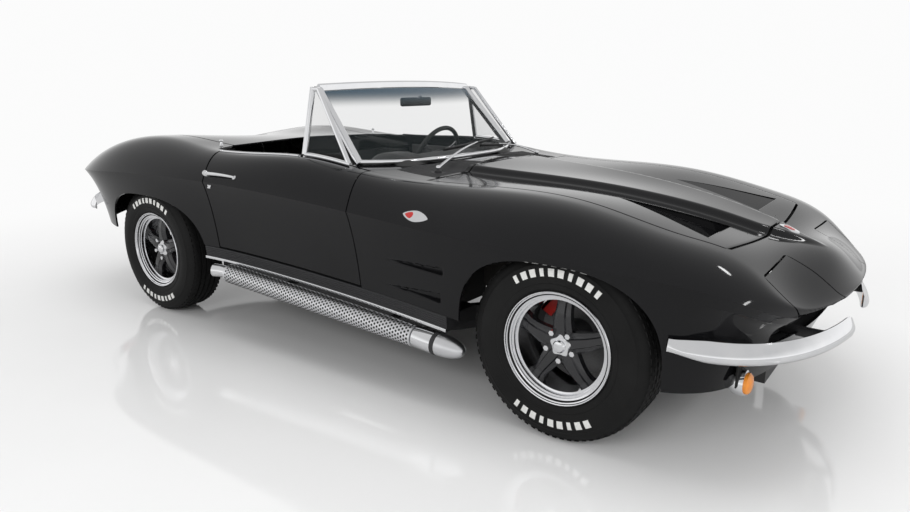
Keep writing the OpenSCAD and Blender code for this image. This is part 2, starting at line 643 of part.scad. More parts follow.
module tail_panel() color("black") {
    difference() {
        panel([for (i = [7 : -1 : 0]) let (u = 1 - pow(1 - i / 7, 2)) [for (w = tail_rows) [mix(tail_joint_x, tail_end_x, u), w]]]);
        both() {
            for (y = lamp_ys) translate([tail_x - overrun, y, lamp_z]) rotate([0, 90, 0])
                cylinder(d = lamp_d + 2 * running_gap, h = 5 * overrun);
            block([tail_joint_x + 2 * overrun, rear_rail_y - rail_w / 2 - running_gap, rear_bumper_z - rear_arm_h - running_gap],
                [tail_x, rear_rail_y + running_gap, rear_bumper_z + running_gap]);
        }
    }
    deck_xs = concat([for (x = quarter_xs) if (x < lid_rear_x - lid_gap) x], [lid_rear_x - lid_gap]);
    panel([for (x = deck_xs) [for (k = hood_rows) [x, k * deck_share]]]);
}
lid_pin_drop = 1.23 * goose_drop;
lid_axis = [lid_rear_x - lid_l / 6, 0, on_skin([lid_rear_x - lid_l / 6, rear_rail_y], -lid_pin_drop)[2]];
module deck_lid() color("black") {
    panel([for (x = evenly(lid_rear_x, cockpit_x, 5))
        [for (k = hood_rows) [x, k * (deck_share - share_of(x, shut_gap))]]], lid_t);
    x = lid_axis[0] + goose_l;
    both() translate([lid_axis[0], rear_rail_y, lid_axis[2]]) mirror([1, 0, 0])
        gooseneck(goose_l, skin(x, share_of(x, rear_rail_y))[2] - lid_t / 2 - lid_axis[2], arm_w);
}

// Sills, tub and frame
rocker_front_x = front_axle_x - arch_half_l - 3 * arch_run;
rocker_xs = evenly(rear_axle_x + arch_half_l, rocker_front_x, 8);
function rocker_point(x, k) = skin(x, 1 + mix(foot_share + share_of(x, skin_t) * 0.3, 1, k / 2));
module rockers() color("black") both()
    slab([for (x = rocker_xs) [for (k = [0 : 2]) rocker_point(x, k)]],
         [for (x = rocker_xs) [for (k = [0 : 2]) let (p = rocker_point(x, k)) [p[0], rail_face_y, p[2]]]]);
firewall_x = behind(firewall_share);
bulkhead_x = cockpit_x;
pillar_top_share = 0.62;
pillar_top_z = mix(waist_z(door_front_x), on_skin([door_front_x, pillar_in_y], 0)[2], pillar_top_share);
floor_half_w = sill_rail_y - rail_w / 2;
floor_z = rail_z + floor_t;
tunnel_z = floor_z + tunnel_h;
sill_top_share = 0.31;
sill_top_z = flank_z(door_front_x, sill_top_share);
rail_face_y = sill_rail_y + rail_w / 2;
module post(x0, x1) {
    block([x0, pillar_in_y, rail_z + rail_h], [x1, rail_face_y, pillar_top_z]);
    block([x0, pillar_in_y, sill_top_z], [x1, pillar_out_y, pillar_top_z]);
}
module floor_tub() color("dimgray") {
    difference() {
        union() {
            block([firewall_x + floor_t, -floor_half_w, floor_z], [bulkhead_x - floor_t, floor_half_w, floor_z + floor_t]);
            block([firewall_x + floor_t, -tunnel_half_w, floor_z], [bulkhead_x - floor_t, tunnel_half_w, tunnel_z]);
            for (x = [firewall_x, bulkhead_x - floor_t]) {
                block([x, -floor_half_w, floor_z], [x + floor_t, floor_half_w, pillar_top_z]);
                block([x, -pillar_in_y, rail_z + rail_h], [x + floor_t, pillar_in_y, pillar_top_z]);
            }
        }
        block([firewall_x + overrun, -tunnel_half_w + floor_t, 0], [bulkhead_x - overrun, tunnel_half_w - floor_t, tunnel_z - floor_t]);
    }
    both() {
        post(door_front_x + bracket_t, firewall_x + floor_t);
        post(bulkhead_x - floor_t, door_rear_x - bracket_t);
        for (z = hinge_zs) {
            block([door_axis[0] - hinge_t / 2, pillar_out_y - hinge_t, z], [door_front_x + 2 * bracket_t, pillar_out_y, z + hinge_t]);
            block([door_axis[0] - hinge_t / 2, pillar_out_y - hinge_t, z], [door_axis[0] + hinge_t / 2, door_axis[1], z + hinge_t]);
            translate([door_axis[0], door_axis[1], z]) cylinder(d = barrel_d, h = hinge_t);
            translate([door_axis[0], door_axis[1], z - hinge_t]) cylinder(d = pin_d, h = 3 * hinge_t);
        }
    }
}
mid_front_x = behind(mid_front_share);
mid_rear_x = bulkhead_x - floor_t;
riser_t = bracket_t;
riser_out_y = sill_rail_y - rail_w / 7;
frame_rear_share = 0.416;
rear_cross_share = 0.367;
frame_rear_x = aft(frame_rear_share);
splay_l = 2.5 * rail_w;
module rail_piece(x0, x1, y, z)
    block([x0, y - rail_w / 2, z], [x1, y + rail_w / 2, z + rail_h]);
module frame() color("black") both() {
    rail_piece(frame_front_x, mid_front_x + splay_l, front_rail_y, rail_z);
    rail_piece(mid_front_x, mid_rear_x, sill_rail_y, rail_z);
    rail_piece(mid_rear_x - riser_t, frame_rear_x, rear_rail_y, rail_z + rear_rail_rise);
    hull() {
        rail_piece(mid_front_x + splay_l, mid_front_x + splay_l + running_gap, front_rail_y, rail_z);
        rail_piece(mid_front_x, mid_front_x + running_gap, sill_rail_y, rail_z);
    }
    block([mid_rear_x, rear_rail_y - rail_w / 2, rail_z], [mid_rear_x - riser_t, riser_out_y, rail_z + rear_rail_rise + rail_h]);
    for (x = [front_cross_x, front_axle_x])
        block([x - rail_w / 2, 0, rail_z], [x + rail_w / 2, front_rail_y, rail_z + rail_h]);
    for (x = [rear_axle_x - final_drive_size[0] * 0.83, aft(rear_cross_share)])
        block([x - rail_w / 2, 0, rail_z + rear_rail_rise], [x + rail_w / 2, rear_rail_y, rail_z + rear_rail_rise + rail_h]);
    for (x = [mid_front_x - jack_pad_d, mid_rear_x + jack_pad_d])
        translate([x, sill_rail_y, rail_z - jack_pad_t]) cylinder(d = jack_pad_d, h = jack_pad_t);
    block([lid_axis[0] - leg_w / 2, rear_rail_y - arm_w / 2 - running_gap - leg_w, rail_z + rear_rail_rise + rail_h],
        [lid_axis[0] + leg_w / 2, rear_rail_y - arm_w / 2 - running_gap, lid_axis[2] + pin_d]);
    translate([lid_axis[0], 0, lid_axis[2]]) across(pin_d, rear_rail_y - arm_w / 2 - leg_w / 2, rear_rail_y + arm_w);
}

// Doors with their quarter lights
hinge_inset = 3.25 * pin_d;
hinge_t = pin_d;
barrel_d = 1.5 * pin_d;
hinge_reach = 100;
door_axis = [door_front_x - hinge_reach, waist_y(door_front_x) - hinge_inset, 0];
hinge_shares = [0.82, 0.95];
hinge_zs = [for (q = hinge_shares) flank_z(door_front_x, q)];
// Room for the door's rear edge as it swings out
jamb_taper = 4 * shut_gap;
swing_relief = 1.5 * shut_gap;
foot_relief_share = 0.02;
door_foot_share = foot_share - foot_relief_share;
door_xs = evenly(0, 1, 7);
door_rows = rows(door_crown_share, 1 + door_foot_share, 6, 5);
function door_cell(t, w) =
    [mix(rear_cut(w) + shut_gap / 2 + lean(w, door_crown_share, swing_relief), front_cut(w) - shut_gap / 2, t), w];
module door(side) color("black") on_side(side) {
    difference() {
        slab([for (t = door_xs) [for (w = door_rows) let (q = door_cell(t, w)) skin(q[0], q[1])]],
             [for (t = door_xs) [for (w = door_rows) let (q = door_cell(t, w), p = skin(q[0], q[1]))
                [p[0] + t * (w < 1 ? front_cut(door_crown_share) - front_cut(w) : 0) + (1 - t) * jamb_taper, cabin_half_w, p[2]]]]);
        for (z = hinge_zs) {
            translate([door_axis[0], door_axis[1], z - 2 * hinge_t]) cylinder(d = pin_d + 2 * running_gap, h = 5 * hinge_t);
            block([door_axis[0] - barrel_d / 2 - moving_gap, cabin_half_w - overrun, z - moving_gap],
                [door_front_x + overrun, door_axis[1] + barrel_d / 2 + moving_gap, z + hinge_t + moving_gap]);
        }
    }
}
module door_left() door(1);
module door_right() door(-1);
vent_foot_x = behind(vent_front_share);
vent_rear_x = behind(vent_rear_share);
vent_y = cabin_half_w + vent_offset;
vent_head_y = screen_head_half_w + screen_bar / 2 + vent_offset;
vent_head_z = overall_h - 2 * screen_head_fall;
vent_head_x = vent_rear_x + 2 * vent_bar;
vent_foot_z = skin(vent_rear_x, door_crown_share)[2];
vent_lean = (vent_y - vent_head_y) / (vent_head_z - vent_foot_z);
function vent_at(x, z) = [x, vent_y - vent_lean * (z - vent_foot_z), z];
function vent_sill(x) = [x, vent_y, skin(x, door_crown_share)[2] + vent_bar / 2 + 3 * running_gap];
vent_xs = evenly(vent_rear_x, vent_foot_x, 4);
vent_front = vent_sill(vent_foot_x - vent_bar / 2);
vent_apex = vent_at(vent_head_x, vent_head_z - vent_bar / 2);
module vent_frame(side) color("silver") on_side(side) {
    sweep([vent_sill(vent_rear_x), vent_at(vent_rear_x, vent_head_z)], [vent_bar, vent_bar], [1, 0, 0]);
    sweep([vent_front, vent_apex], [vent_bar, vent_bar], [0, 1, 0]);
    sweep([for (x = vent_xs) vent_sill(x)], [vent_bar, vent_bar]);
    sweep([vent_at(vent_rear_x, vent_apex[2]), vent_apex], [vent_bar, vent_bar]);
}
function vent_bound(z) =
    let (u = unit([vent_apex[0] - vent_front[0], vent_apex[2] - vent_front[2]]), g = vent_bar / 2 + 2 * running_gap,
         f = [vent_front[0] - u[1] * g, vent_front[2] + u[0] * g])
    f[0] + (z - f[1]) * u[0] / u[1];
module vent_glass(side) color("lightblue") on_side(side) {
    x0 = vent_rear_x + vent_bar / 2 + running_gap;
    z0 = max([for (x = vent_xs) vent_sill(x)[2]]) + vent_bar / 2 + running_gap;
    z1 = vent_head_z - vent_bar - running_gap;
    t = [0, glass_t / 2, 0];
    a = vent_at(x0, z0);
    b = vent_at(vent_bound(z0), z0);
    c = vent_at(x0, z1);
    d = vent_at(vent_bound(z1), z1);
    slab([[c + t, a + t], [d + t, b + t]], [[c - t, a - t], [d - t, b - t]]);
}
module vent_frame_left() vent_frame(1);
module vent_frame_right() vent_frame(-1);
module vent_glass_left() vent_glass(1);
module vent_glass_right() vent_glass(-1);

// Windscreen
function screen_foot(k) =
    let (x = behind(screen_foot_share) - screen_foot_bow * k * k, y = screen_foot_half_w * k)
    [x, y, skin(x, share_of(x, abs(y)))[2] + screen_bar / 4];
function screen_head(k) =
    [behind(screen_head_share) - screen_head_bow * k * k, screen_head_half_w * k,
        overall_h - screen_bar / 2 - screen_head_fall * k * k];
screen_ks = [for (k = [-6 : 6]) k / 6];
module screen_frame() color("silver") {
    slab([for (e = [-1, 1]) [for (k = screen_ks) on_skin(screen_foot(k) + e * [screen_bar / 2, 0, 0], screen_bar / 2)]],
        [for (e = [-1, 1]) [for (k = screen_ks) on_skin(screen_foot(k) + e * [screen_bar / 2, 0, 0], 5 * running_gap)]]);
    sweep([for (k = screen_ks) screen_head(k)], [screen_bar, screen_bar]);
    for (k = [-1, 1]) sweep([screen_foot(k) + [0, 0, screen_bar / 4], mix(screen_foot(k), screen_head(k), 0.5), screen_head(k)],
        [screen_bar, screen_bar], [1, 0, 0]);
}
function pane_point(k, h, e) =
    let (w = mix(screen_foot_half_w, screen_head_half_w, h), q = k * (1 - (screen_bar / 2 + 2 * running_gap) / w),
         a = screen_foot(q), b = screen_head(q), rise = b[2] - a[2],
         t = mix((screen_bar / 4 + 10 * running_gap) / rise, 1 - (screen_bar / 2 + running_gap) / rise, h))
    mix(a, b, t) + [e * glass_t / 2, 0, 0];
module screen_glass() color("lightblue")
    slab([for (h = [1, 0.5, 0]) [for (k = screen_ks) pane_point(k, h, 1)]],
         [for (h = [1, 0.5, 0]) [for (k = screen_ks) pane_point(k, h, -1)]]);

// Cabin
seat_y = (tunnel_half_w + floor_half_w) / 2;
seat_half_w = (floor_half_w - tunnel_half_w) / 2 - seat_room;
seat_x = behind(seat_share);
seat_z = floor_z + floor_t;
roll_d = cushion_t / 2;
// A pad with a rolled front edge, lying on its back at the origin
module pad(l, t)
    rotate([90, 0, 0]) translate([0, 0, -seat_half_w]) linear_extrude(2 * seat_half_w) {
        square([l - t / 2, t]);
        translate([l - t / 2, t / 2]) circle(d = t);
    }
module seats() color("maroon") both() translate([seat_x - seat_l / 2, seat_y, seat_z]) {
    pad(seat_l, cushion_t);
    translate([back_t, 0, cushion_t / 2]) rotate([0, -90 - back_tilt, 0]) pad(back_h, back_t);
}
dash_front_x = behind(dash_front_share);
dash_rear_x = behind(dash_rear_share);
dash_top_z = on_skin([dash_front_x, 0], -dash_drop)[2];
dash_z = dash_top_z - dash_h;
dash_half_w = pillar_in_y - 2 * seam_gap;
dash_hood_half_w = seat_half_w * 0.9;
dash_hood_r = (dash_hood_half_w * dash_hood_half_w + dash_hood_h * dash_hood_h) / (2 * dash_hood_h);
dash_hood_x = door_front_x - screen_foot_bow - moving_gap;
module dashboard() color("black") difference() {
    union() {
        rotate([90, 0, 0]) translate([0, 0, -dash_half_w]) linear_extrude(2 * dash_half_w)
            polygon([[firewall_x, dash_z], [firewall_x, dash_z + floor_t], [dash_front_x, dash_top_z], [dash_rear_x, dash_top_z],
                [dash_rear_x - floor_t, dash_top_z - floor_t], [dash_rear_x, dash_z], [dash_front_x, dash_z - floor_t]]);
        both() intersection() {
            translate([dash_rear_x, seat_y, dash_top_z + dash_hood_h - dash_hood_r]) rotate([0, 90, 0])
                cylinder(r = dash_hood_r, h = dash_hood_x - dash_rear_x);
            block([dash_rear_x, 0, dash_top_z - floor_t], [dash_hood_x, dash_half_w, dash_top_z + dash_hood_h]);
        }
    }
    column_bar(column_d + 2 * running_gap);
}
wheel_hub = [behind(steer_share), seat_y, dash_top_z - steer_drop];
module column_bar(d)
    translate(wheel_hub) rotate([0, 90 + column_tilt, 0]) translate([0, 0, column_d])
        cylinder(d = d, h = (dash_rear_x - wheel_hub[0]) / cos(column_tilt));
module steering_column() color("black") column_bar(column_d);
steer_arms = 3;
module steering_wheel() color("black")
    translate(wheel_hub) rotate([0, 90 + column_tilt, 0]) {
        rotate_extrude() translate([(steer_d - steer_rim_d) / 2, 0]) circle(d = steer_rim_d);
        translate([0, 0, -steer_rim_d / 2]) cylinder(d = 2 * column_d, h = steer_rim_d);
        cylinder(d = column_d, h = column_d - running_gap);
        for (k = [0 : steer_arms - 1]) rotate([0, 0, 360 * k / steer_arms])
            block([0, -steer_rim_d / 2, -steer_rim_d / 4], [steer_d / 2 - steer_rim_d / 2, steer_rim_d / 2, steer_rim_d / 4]);
    }
module console() color("black") {
    block([firewall_x - floor_t, -tunnel_half_w / 2, tunnel_z], [door_rear_x, tunnel_half_w / 2, tunnel_z + floor_t]);
    translate([behind(lever_share), 0, tunnel_z + floor_t]) {
        cylinder(d = pin_d, h = lever_l);
        translate([0, 0, lever_l + pin_d / 2]) sphere(d = 3 * pin_d);
    }
}
mirror_z = overall_h - mirror_drop;
module cabin_mirror() color("black") {
    t = (mirror_z + pin_d / 2 - screen_foot(0)[2]) / (screen_head(0)[2] - screen_foot(0)[2]);
    x = mix(screen_foot(0), screen_head(0), t)[0] - glass_t / 2 - running_gap;
    translate([x - mirror_reach - mirror_size[0], -mirror_size[1] / 2, mirror_z - mirror_size[2] / 2]) cube(mirror_size);
    block([x - mirror_reach - mirror_size[0] / 2, -pin_d / 2, mirror_z - pin_d / 2], [x, pin_d / 2, mirror_z + pin_d / 2]);
}
wiper_y_shares = [-0.699, 0.098];
wiper_ys = [for (q = wiper_y_shares) q * screen_foot_half_w];
wiper_sweep_share = 0.325;
wiper_rise_share = 0.14;
wiper_x = behind(wiper_share);
module wipers() color("dimgray") for (q = wiper_y_shares) {
    p = on_skin([wiper_x, q * screen_foot_half_w, 0], 0);
    k = q + wiper_sweep_share;
    translate(p - [0, 0, 2 * skin_t]) cylinder(d = 2 * pin_d, h = 2 * skin_t + pin_d);
    sweep([p + [0, 0, pin_d], mix(screen_foot(k), screen_head(k), wiper_rise_share) + [3 * pin_d, 0, pin_d]], [pin_d / 2, pin_d / 2]);
}

// Bumpers, grille and lamps
bumper_z = waist_z(nose_x) - bumper_drop;
bumper_end_share = 0.181;
bumper_end_y = half_w * bumper_end_share;
bumper_side_share = 0.031;
bumper_spread = 1.6;
function end_run(y, p, r) = pow(1 - pow(y / half_w, r), 1 / p);
bumper_tip_x = mix(front_axle_x, nose_x, end_run(bumper_end_y, nose_power, nose_root));
bumper_side_x = ahead(bumper_side_share);
bumper_steps = 9;
bumper_xs = [for (a = [0 : bumper_steps])
    bumper_side_x + (bumper_tip_x - bumper_side_x) * (1 - pow(1 - a / bumper_steps, bumper_spread))];
bumper_out = (overall_l / 2 - bumper_tip_x) - bumper_t / 2;
function bumper_at(x) =
    [x, waist_y(x), bumper_z + bumper_side_rise * (bumper_tip_x - x) / (bumper_tip_x - bumper_side_x)]
    - inward(x) * mix(-bumper_t / 2, bumper_out, (x - bumper_side_x) / (bumper_tip_x - bumper_side_x));
module front_bumpers() color("silver") both() {
    sweep([for (x = bumper_xs) bumper_at(x)], [bumper_t, bumper_h]);
    block([frame_front_x - bracket_t, front_rail_y - rail_w / 2, bumper_z - bumper_h / 4],
        [nose_x - nose_setback, front_rail_y, bumper_z + bumper_h / 4]);
    block([frame_front_x - bracket_t, front_rail_y - rail_w / 2, rail_z + rail_h], [frame_front_x, front_rail_y, bumper_z]);
}
grille_share = 0.61;
grille_x = ahead(grille_share);
grille_half_w = leg_y - leg_w;
grille_top_z = bumper_z + 2 * bumper_h;
module grille() color("black") {
    z0 = rail_z + rail_h;
    for (k = [0 : grille_bars - 1]) let (z = mix(z0 + grille_bar, grille_top_z - grille_bar, k / (grille_bars - 1)))
        block([grille_x - grille_bar, -grille_half_w, z], [grille_x, grille_half_w, z + grille_bar]);
    both() {
        block([grille_x - 2 * grille_bar, grille_half_w - grille_bar, z0], [grille_x - grille_bar / 2, grille_half_w, grille_top_z]);
        block([grille_x - 2 * grille_bar, 0, z0], [grille_x - grille_bar / 2, grille_bar / 2, grille_top_z]);
        block([front_cross_x, grille_half_w - 2 * grille_bar, z0], [grille_x - grille_bar / 2, grille_half_w, z0 + grille_bar / 2]);
    }
}
turn_share = 0.397;
turn_y_share = 0.6787;
turn_lamp = [ahead(turn_share), half_w * turn_y_share, rail_z + turn_rise];
module turn_lamps() color("orange") both() {
    translate([turn_lamp[0], 0, turn_lamp[2]]) across(pin_d, front_rail_y + rail_w / 2, turn_lamp[1]);
    translate(turn_lamp) rotate([0, 90, 0]) cylinder(d = turn_d, h = turn_l);
}
pod_axis_x = ahead(pod_axis_share);
pod_mid_y = (pod_in_y + pod_out_y) / 2;
pod_axis = on_skin([pod_axis_x, pod_mid_y], -pod_drop);
pod_row_share = 0.985;
lamp_tip = 15;
module headlamp(side) color("black") on_side(side) {
    intersection() {
        panel([for (i = [0 : 6]) [for (k = [0 : 6])
            let (y = mix(pod_in_y, pod_out_y, k / 6), x = mix(pod_rear_x, nose_x - bumper_t, i / 6))
                [x, min(pod_row_share, share_of(x, y))]]], pod_t);
        translate([pod_axis[0], 0, pod_axis[2]]) across(pod_d, pod_in_y, pod_out_y);
    }
    translate([pod_axis[0], 0, pod_axis[2]]) {
        across(pin_d, leg_y - leg_w / 2, pod_out_y);
        across(2 * pin_d, pod_in_y - moving_gap / 2, pod_out_y);
        for (q = [1, 3]) translate([0, mix(pod_in_y, pod_out_y, q / 4), 0]) rotate([0, 180 + lamp_tip, 0])
            cylinder(d = headlamp_d, h = headlamp_d / 2);
    }
}
module headlamp_left() headlamp(1);
module headlamp_right() headlamp(-1);
rear_bumper_z = waist_z(tail_x) - rear_bumper_drop;
rear_arm_h = bumper_t / 2;
rear_side_share = 0.345;
rear_tip_x = mix(rear_axle_x, tail_x, end_run(bumper_end_y, tail_power, tail_root));
rear_side_x = aft(rear_side_share);
rear_out = (rear_tip_x + overall_l / 2) - bumper_t / 2;
rear_xs = [for (a = [0 : bumper_steps])
    rear_side_x + (rear_tip_x - rear_side_x) * (1 - pow(1 - a / bumper_steps, bumper_spread))];
module rear_bumpers() color("silver") both() {
    sweep([for (x = rear_xs) [x, waist_y(x), rear_bumper_z]
        - inward(x) * mix(-bumper_t, rear_out, (x - rear_side_x) / (rear_tip_x - rear_side_x))], [bumper_t, bumper_h]);
    block([frame_rear_x, rear_rail_y - rail_w / 2, rail_z + rear_rail_rise + rail_h / 2],
        [frame_rear_x - pin_l, rear_rail_y, rear_bumper_z]);
    block([frame_rear_x, rear_rail_y - rail_w / 2, rear_bumper_z - rear_arm_h],
        [rear_tip_x + 2 * nose_setback, rear_rail_y, rear_bumper_z]);
}
lamp_y_shares = [0.339, 0.520];
lamp_ys = [for (q = lamp_y_shares) q * half_w];
lamp_z = waist_z(tail_x) - lamp_drop;
module tail_lamps() color("red") both() for (y = lamp_ys)
    translate([tail_x + lamp_inset + lamp_l, y, lamp_z]) rotate([0, -90, 0]) cylinder(d = lamp_d, h = lamp_l);

// Running gear
pipe_front = [behind(pipe_front_share), 0, rail_z + pipe_rises[0]];
pipe_rear = [behind(pipe_rear_share), 0, rail_z + pipe_rises[1]];
pipe_y = half_w - pipe_d / 2 - pipe_inset;
pipe_stay_shares = [0.25, 0.75];
module side_pipes() color("silver") both() translate([0, pipe_y, 0]) {
    l = norm(pipe_rear - pipe_front);
    a = atan2(pipe_rear[2] - pipe_front[2], pipe_front[0] - pipe_rear[0]);
    translate(pipe_front) rotate([0, a - 90, 0]) {
        cylinder(d = pipe_d, h = l);
        translate([0, 0, -pipe_tip_l]) cylinder(d1 = pipe_d / 3, d2 = pipe_d, h = pipe_tip_l);
        cylinder(d = pipe_d * 3 / 4, h = l + pipe_tip_l);
    }
    for (t = pipe_stay_shares) let (p = mix(pipe_front, pipe_rear, t))
        block([p[0] - bracket_t / 2, rail_face_y - pipe_y, p[2] - bracket_t / 3], [p[0] + bracket_t / 2, 0, p[2] + bracket_t / 3]);
}
engine_half_w = front_rail_y - rail_w / 2 - engine_gap;
engine_front_x = front_axle_x + radiator_t;
engine_rear_x = firewall_x + 2 * radiator_t;
radiator_x = joint_x - 2 * radiator_t;
module engine() color("orange") {
    z = rail_z + rail_h;
    block([engine_front_x, -engine_half_w, z + mount_h], [engine_rear_x, engine_half_w, on_skin([front_axle_x, 0], -engine_drop)[2]]);
    block([front_axle_x - rail_w / 2, -rail_w, z], [engine_front_x + rail_w, rail_w, z + mount_h]);
    block([radiator_x, -front_rail_y, z], [radiator_x - radiator_t, front_rail_y, on_skin([radiator_x, 0], -radiator_drop)[2]]);
}
shaft_z = axle_z - shaft_drop;
final_drive_half_w = final_drive_size[1] / 2;
module driveline() color("gray") {
    rotate([0, 90, 0]) translate([-shaft_z, 0, rear_axle_x])
        cylinder(d = shaft_d, h = engine_rear_x - running_gap - rear_axle_x);
    translate([rear_axle_x, 0, shaft_z]) cube(final_drive_size, center = true);
    block([rear_axle_x - final_drive_size[0] * 0.95, -final_drive_half_w, shaft_z + final_drive_size[2] / 4],
        [rear_axle_x, final_drive_half_w, rail_z + rear_rail_rise]);
}
arm_zs = [axle_z - arm_spread, axle_z + arm_spread];
module front_arms() both() for (z = arm_zs) {
    s = z < axle_z ? -1 : 1;
    block([front_axle_x - eye_d / 2, front_rail_y + rail_w / 2, z - arm_t / 2], [front_axle_x + eye_d / 2, king_y, z + arm_t / 2]);
    translate([front_axle_x, king_y, z - arm_t / 2]) cylinder(d = eye_d, h = arm_t);
    translate([front_axle_x, king_y, z - (s < 0 ? 0 : eye_d / 2)]) cylinder(d = ball_d, h = eye_d / 2);
    if (s > 0) block([front_axle_x - eye_d / 2, front_rail_y - rail_w / 2, rail_z + rail_h],
        [front_axle_x + eye_d / 2, front_rail_y + rail_w / 2, z + arm_t / 2]);
}
caliper_half_h = caliper_h / 2;
caliper_out = seat_d / 2 - rim_t - caliper_gap;
disc_d = 2 * (caliper_out - moving_gap - caliper_bridge);
caliper_in = disc_d / 2 - caliper_bite;
caliper_angle = 45;
module caliper()
    translate([0, 0, axle_z]) rotate([0, caliper_angle, 0]) {
        block([-caliper_out, king_y, -caliper_half_h], [-caliper_in, disc_y - moving_gap, caliper_half_h]);
        block([-caliper_out, king_y, -caliper_half_h], [-disc_d / 2 - moving_gap, disc_y + disc_t + moving_gap + arm_t / 2, caliper_half_h]);
        block([-caliper_out, disc_y + disc_t + moving_gap, -caliper_half_h],
            [-caliper_in, disc_y + disc_t + moving_gap + arm_t / 2, caliper_half_h]);
        block([-caliper_out, king_y, -caliper_half_h / 2], [0, king_y + arm_t, caliper_half_h / 2]);
    }
module knuckle(side) color("red") on_side(side) difference() {
    union() {
        translate([front_axle_x, king_y, arm_zs[0] + arm_t / 2 + running_gap])
            cylinder(d = knuckle_d, h = arm_zs[1] - arm_zs[0] - arm_t - 2 * running_gap);
        translate([front_axle_x, 0, axle_z]) across(spindle_d, king_y, wheel_y + spindle_reach);
        translate([front_axle_x, 0, 0]) caliper();
    }
    for (s = [0, 1]) translate([front_axle_x, king_y, arm_zs[s] - eye_d / 2 - running_gap])
        cylinder(d = ball_d + 2 * running_gap, h = eye_d + 2 * running_gap);
}
module knuckle_left() knuckle(1);
module knuckle_right() knuckle(-1);
carrier_y = disc_y - carrier_inset;
carrier_half_l = eye_d * 3 / 4;
trail_x = mid_rear_x - riser_t;
module rear_arms() both() {
    translate([rear_axle_x, 0, axle_z]) {
        across(half_shaft_d, final_drive_half_w, carrier_y);
        across(spindle_d, carrier_y - carrier_t, wheel_y + spindle_reach);
        block([-carrier_half_l, carrier_y - carrier_t, -carrier_half_l], [carrier_half_l, carrier_y, carrier_half_l]);
        block([0, carrier_y - carrier_t, -arm_t], [trail_x - rear_axle_x, carrier_y - carrier_t / 4, arm_t]);
    }
    translate([rear_axle_x, 0, 0]) mirror([1, 0, 0]) caliper();
}
module suspension_arms() color("black") {
    front_arms();
    rear_arms();
}
hub_face_share = 0.36;
spoke_foot_share = 0.08;
spoke_share = 0.22;
module wheel(x, side) color("gray") translate([x, side * wheel_y, axle_z]) on_side(side) rotate([-90, 0, 0]) {
    difference() {
        union() {
            rotate_extrude($fn = 96) polygon([
                [seat_d / 2 - rim_t, -rim_w / 2], [rim_d / 2, -rim_w / 2], [rim_d / 2, -rim_w / 2 + rim_t], [seat_d / 2, -rim_w / 2 + rim_t],
                [seat_d / 2, rim_w / 2 - rim_t], [rim_d / 2, rim_w / 2 - rim_t], [rim_d / 2, rim_w / 2], [seat_d / 2 - rim_t, rim_w / 2]]);
            translate([0, 0, disc_y + disc_t - wheel_y]) cylinder(d = hub_d, h = rim_w * hub_face_share - (disc_y + disc_t - wheel_y));
            translate([0, 0, disc_y - wheel_y]) cylinder(d = disc_d, h = disc_t);
            for (k = [0 : spokes - 1]) rotate([0, 0, 360 * k / spokes + 90]) translate([0, 0, rim_w * spoke_foot_share])
                linear_extrude(rim_w * spoke_share) polygon([[0, -spoke_w / 2], [seat_d / 2 - rim_t / 2, -spoke_w / 3], [seat_d / 2 - rim_t / 2, spoke_w / 3], [0, spoke_w / 2]]);
        }
        translate([0, 0, -wheel_y]) cylinder(d = spindle_d + 2 * running_gap, h = wheel_y + rim_w * (hub_face_share - 0.06));
    }
    translate([0, 0, rim_w * hub_face_share - rim_t]) cylinder(d = hub_d * 0.7, h = 2 * rim_t);
}
module tyre(x, side) color("black") translate([x, side * wheel_y, axle_z]) rotate([-90, 0, 0]) {
    r = tyre_d / 2;
    h = r - seat_d / 2;
    rotate_extrude($fn = 96) polygon([
        [seat_d / 2 + running_gap, -rim_w / 2 + rim_t + running_gap], [rim_d / 2 + running_gap, -rim_w / 2 + rim_t + running_gap],
        [rim_d / 2 + running_gap, -rim_w / 2], [seat_d / 2 + h * 0.4, -tyre_w / 2], [seat_d / 2 + h * 0.6, -tyre_w / 2],
        [r - h * 0.16, -mix(tread_w, tyre_w, 0.5) / 2], [r - h * 0.04, -tread_w / 2], [r, -tread_w * 0.42],
        [r, tread_w * 0.42], [r - h * 0.04, tread_w / 2], [r - h * 0.16, mix(tread_w, tyre_w, 0.5) / 2],
        [seat_d / 2 + h * 0.6, tyre_w / 2], [seat_d / 2 + h * 0.4, tyre_w / 2],
        [rim_d / 2 + running_gap, rim_w / 2], [rim_d / 2 + running_gap, rim_w / 2 - rim_t - running_gap],
        [seat_d / 2 + running_gap, rim_w / 2 - rim_t - running_gap]]);
}
module wheel_front_left() wheel(front_axle_x, 1);
module wheel_front_right() wheel(front_axle_x, -1);
module wheel_rear_left() wheel(rear_axle_x, 1);
module wheel_rear_right() wheel(rear_axle_x, -1);
module tyre_front_left() tyre(front_axle_x, 1);
module tyre_front_right() tyre(front_axle_x, -1);
module tyre_rear_left() tyre(rear_axle_x, 1);
module tyre_rear_right() tyre(rear_axle_x, -1);

frame();
floor_tub();
rockers();
nose_panel();
fenders();
hood();
cowl();
screen_frame();
screen_glass();
door_left();
door_right();
vent_frame_left();
vent_frame_right();
vent_glass_left();
vent_glass_right();
quarters();
tail_panel();
deck_lid();
seats();
dashboard();
steering_column();
steering_wheel();
console();
cabin_mirror();
wipers();
front_bumpers();
grille();
turn_lamps();
headlamp_left();
headlamp_right();
rear_bumpers();
tail_lamps();
side_pipes();
engine();
driveline();
suspension_arms();
knuckle_left();
knuckle_right();
wheel_front_left();
wheel_front_right();
wheel_rear_left();
wheel_rear_right();
tyre_front_left();
tyre_front_right();
tyre_rear_left();
tyre_rear_right();
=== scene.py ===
import math

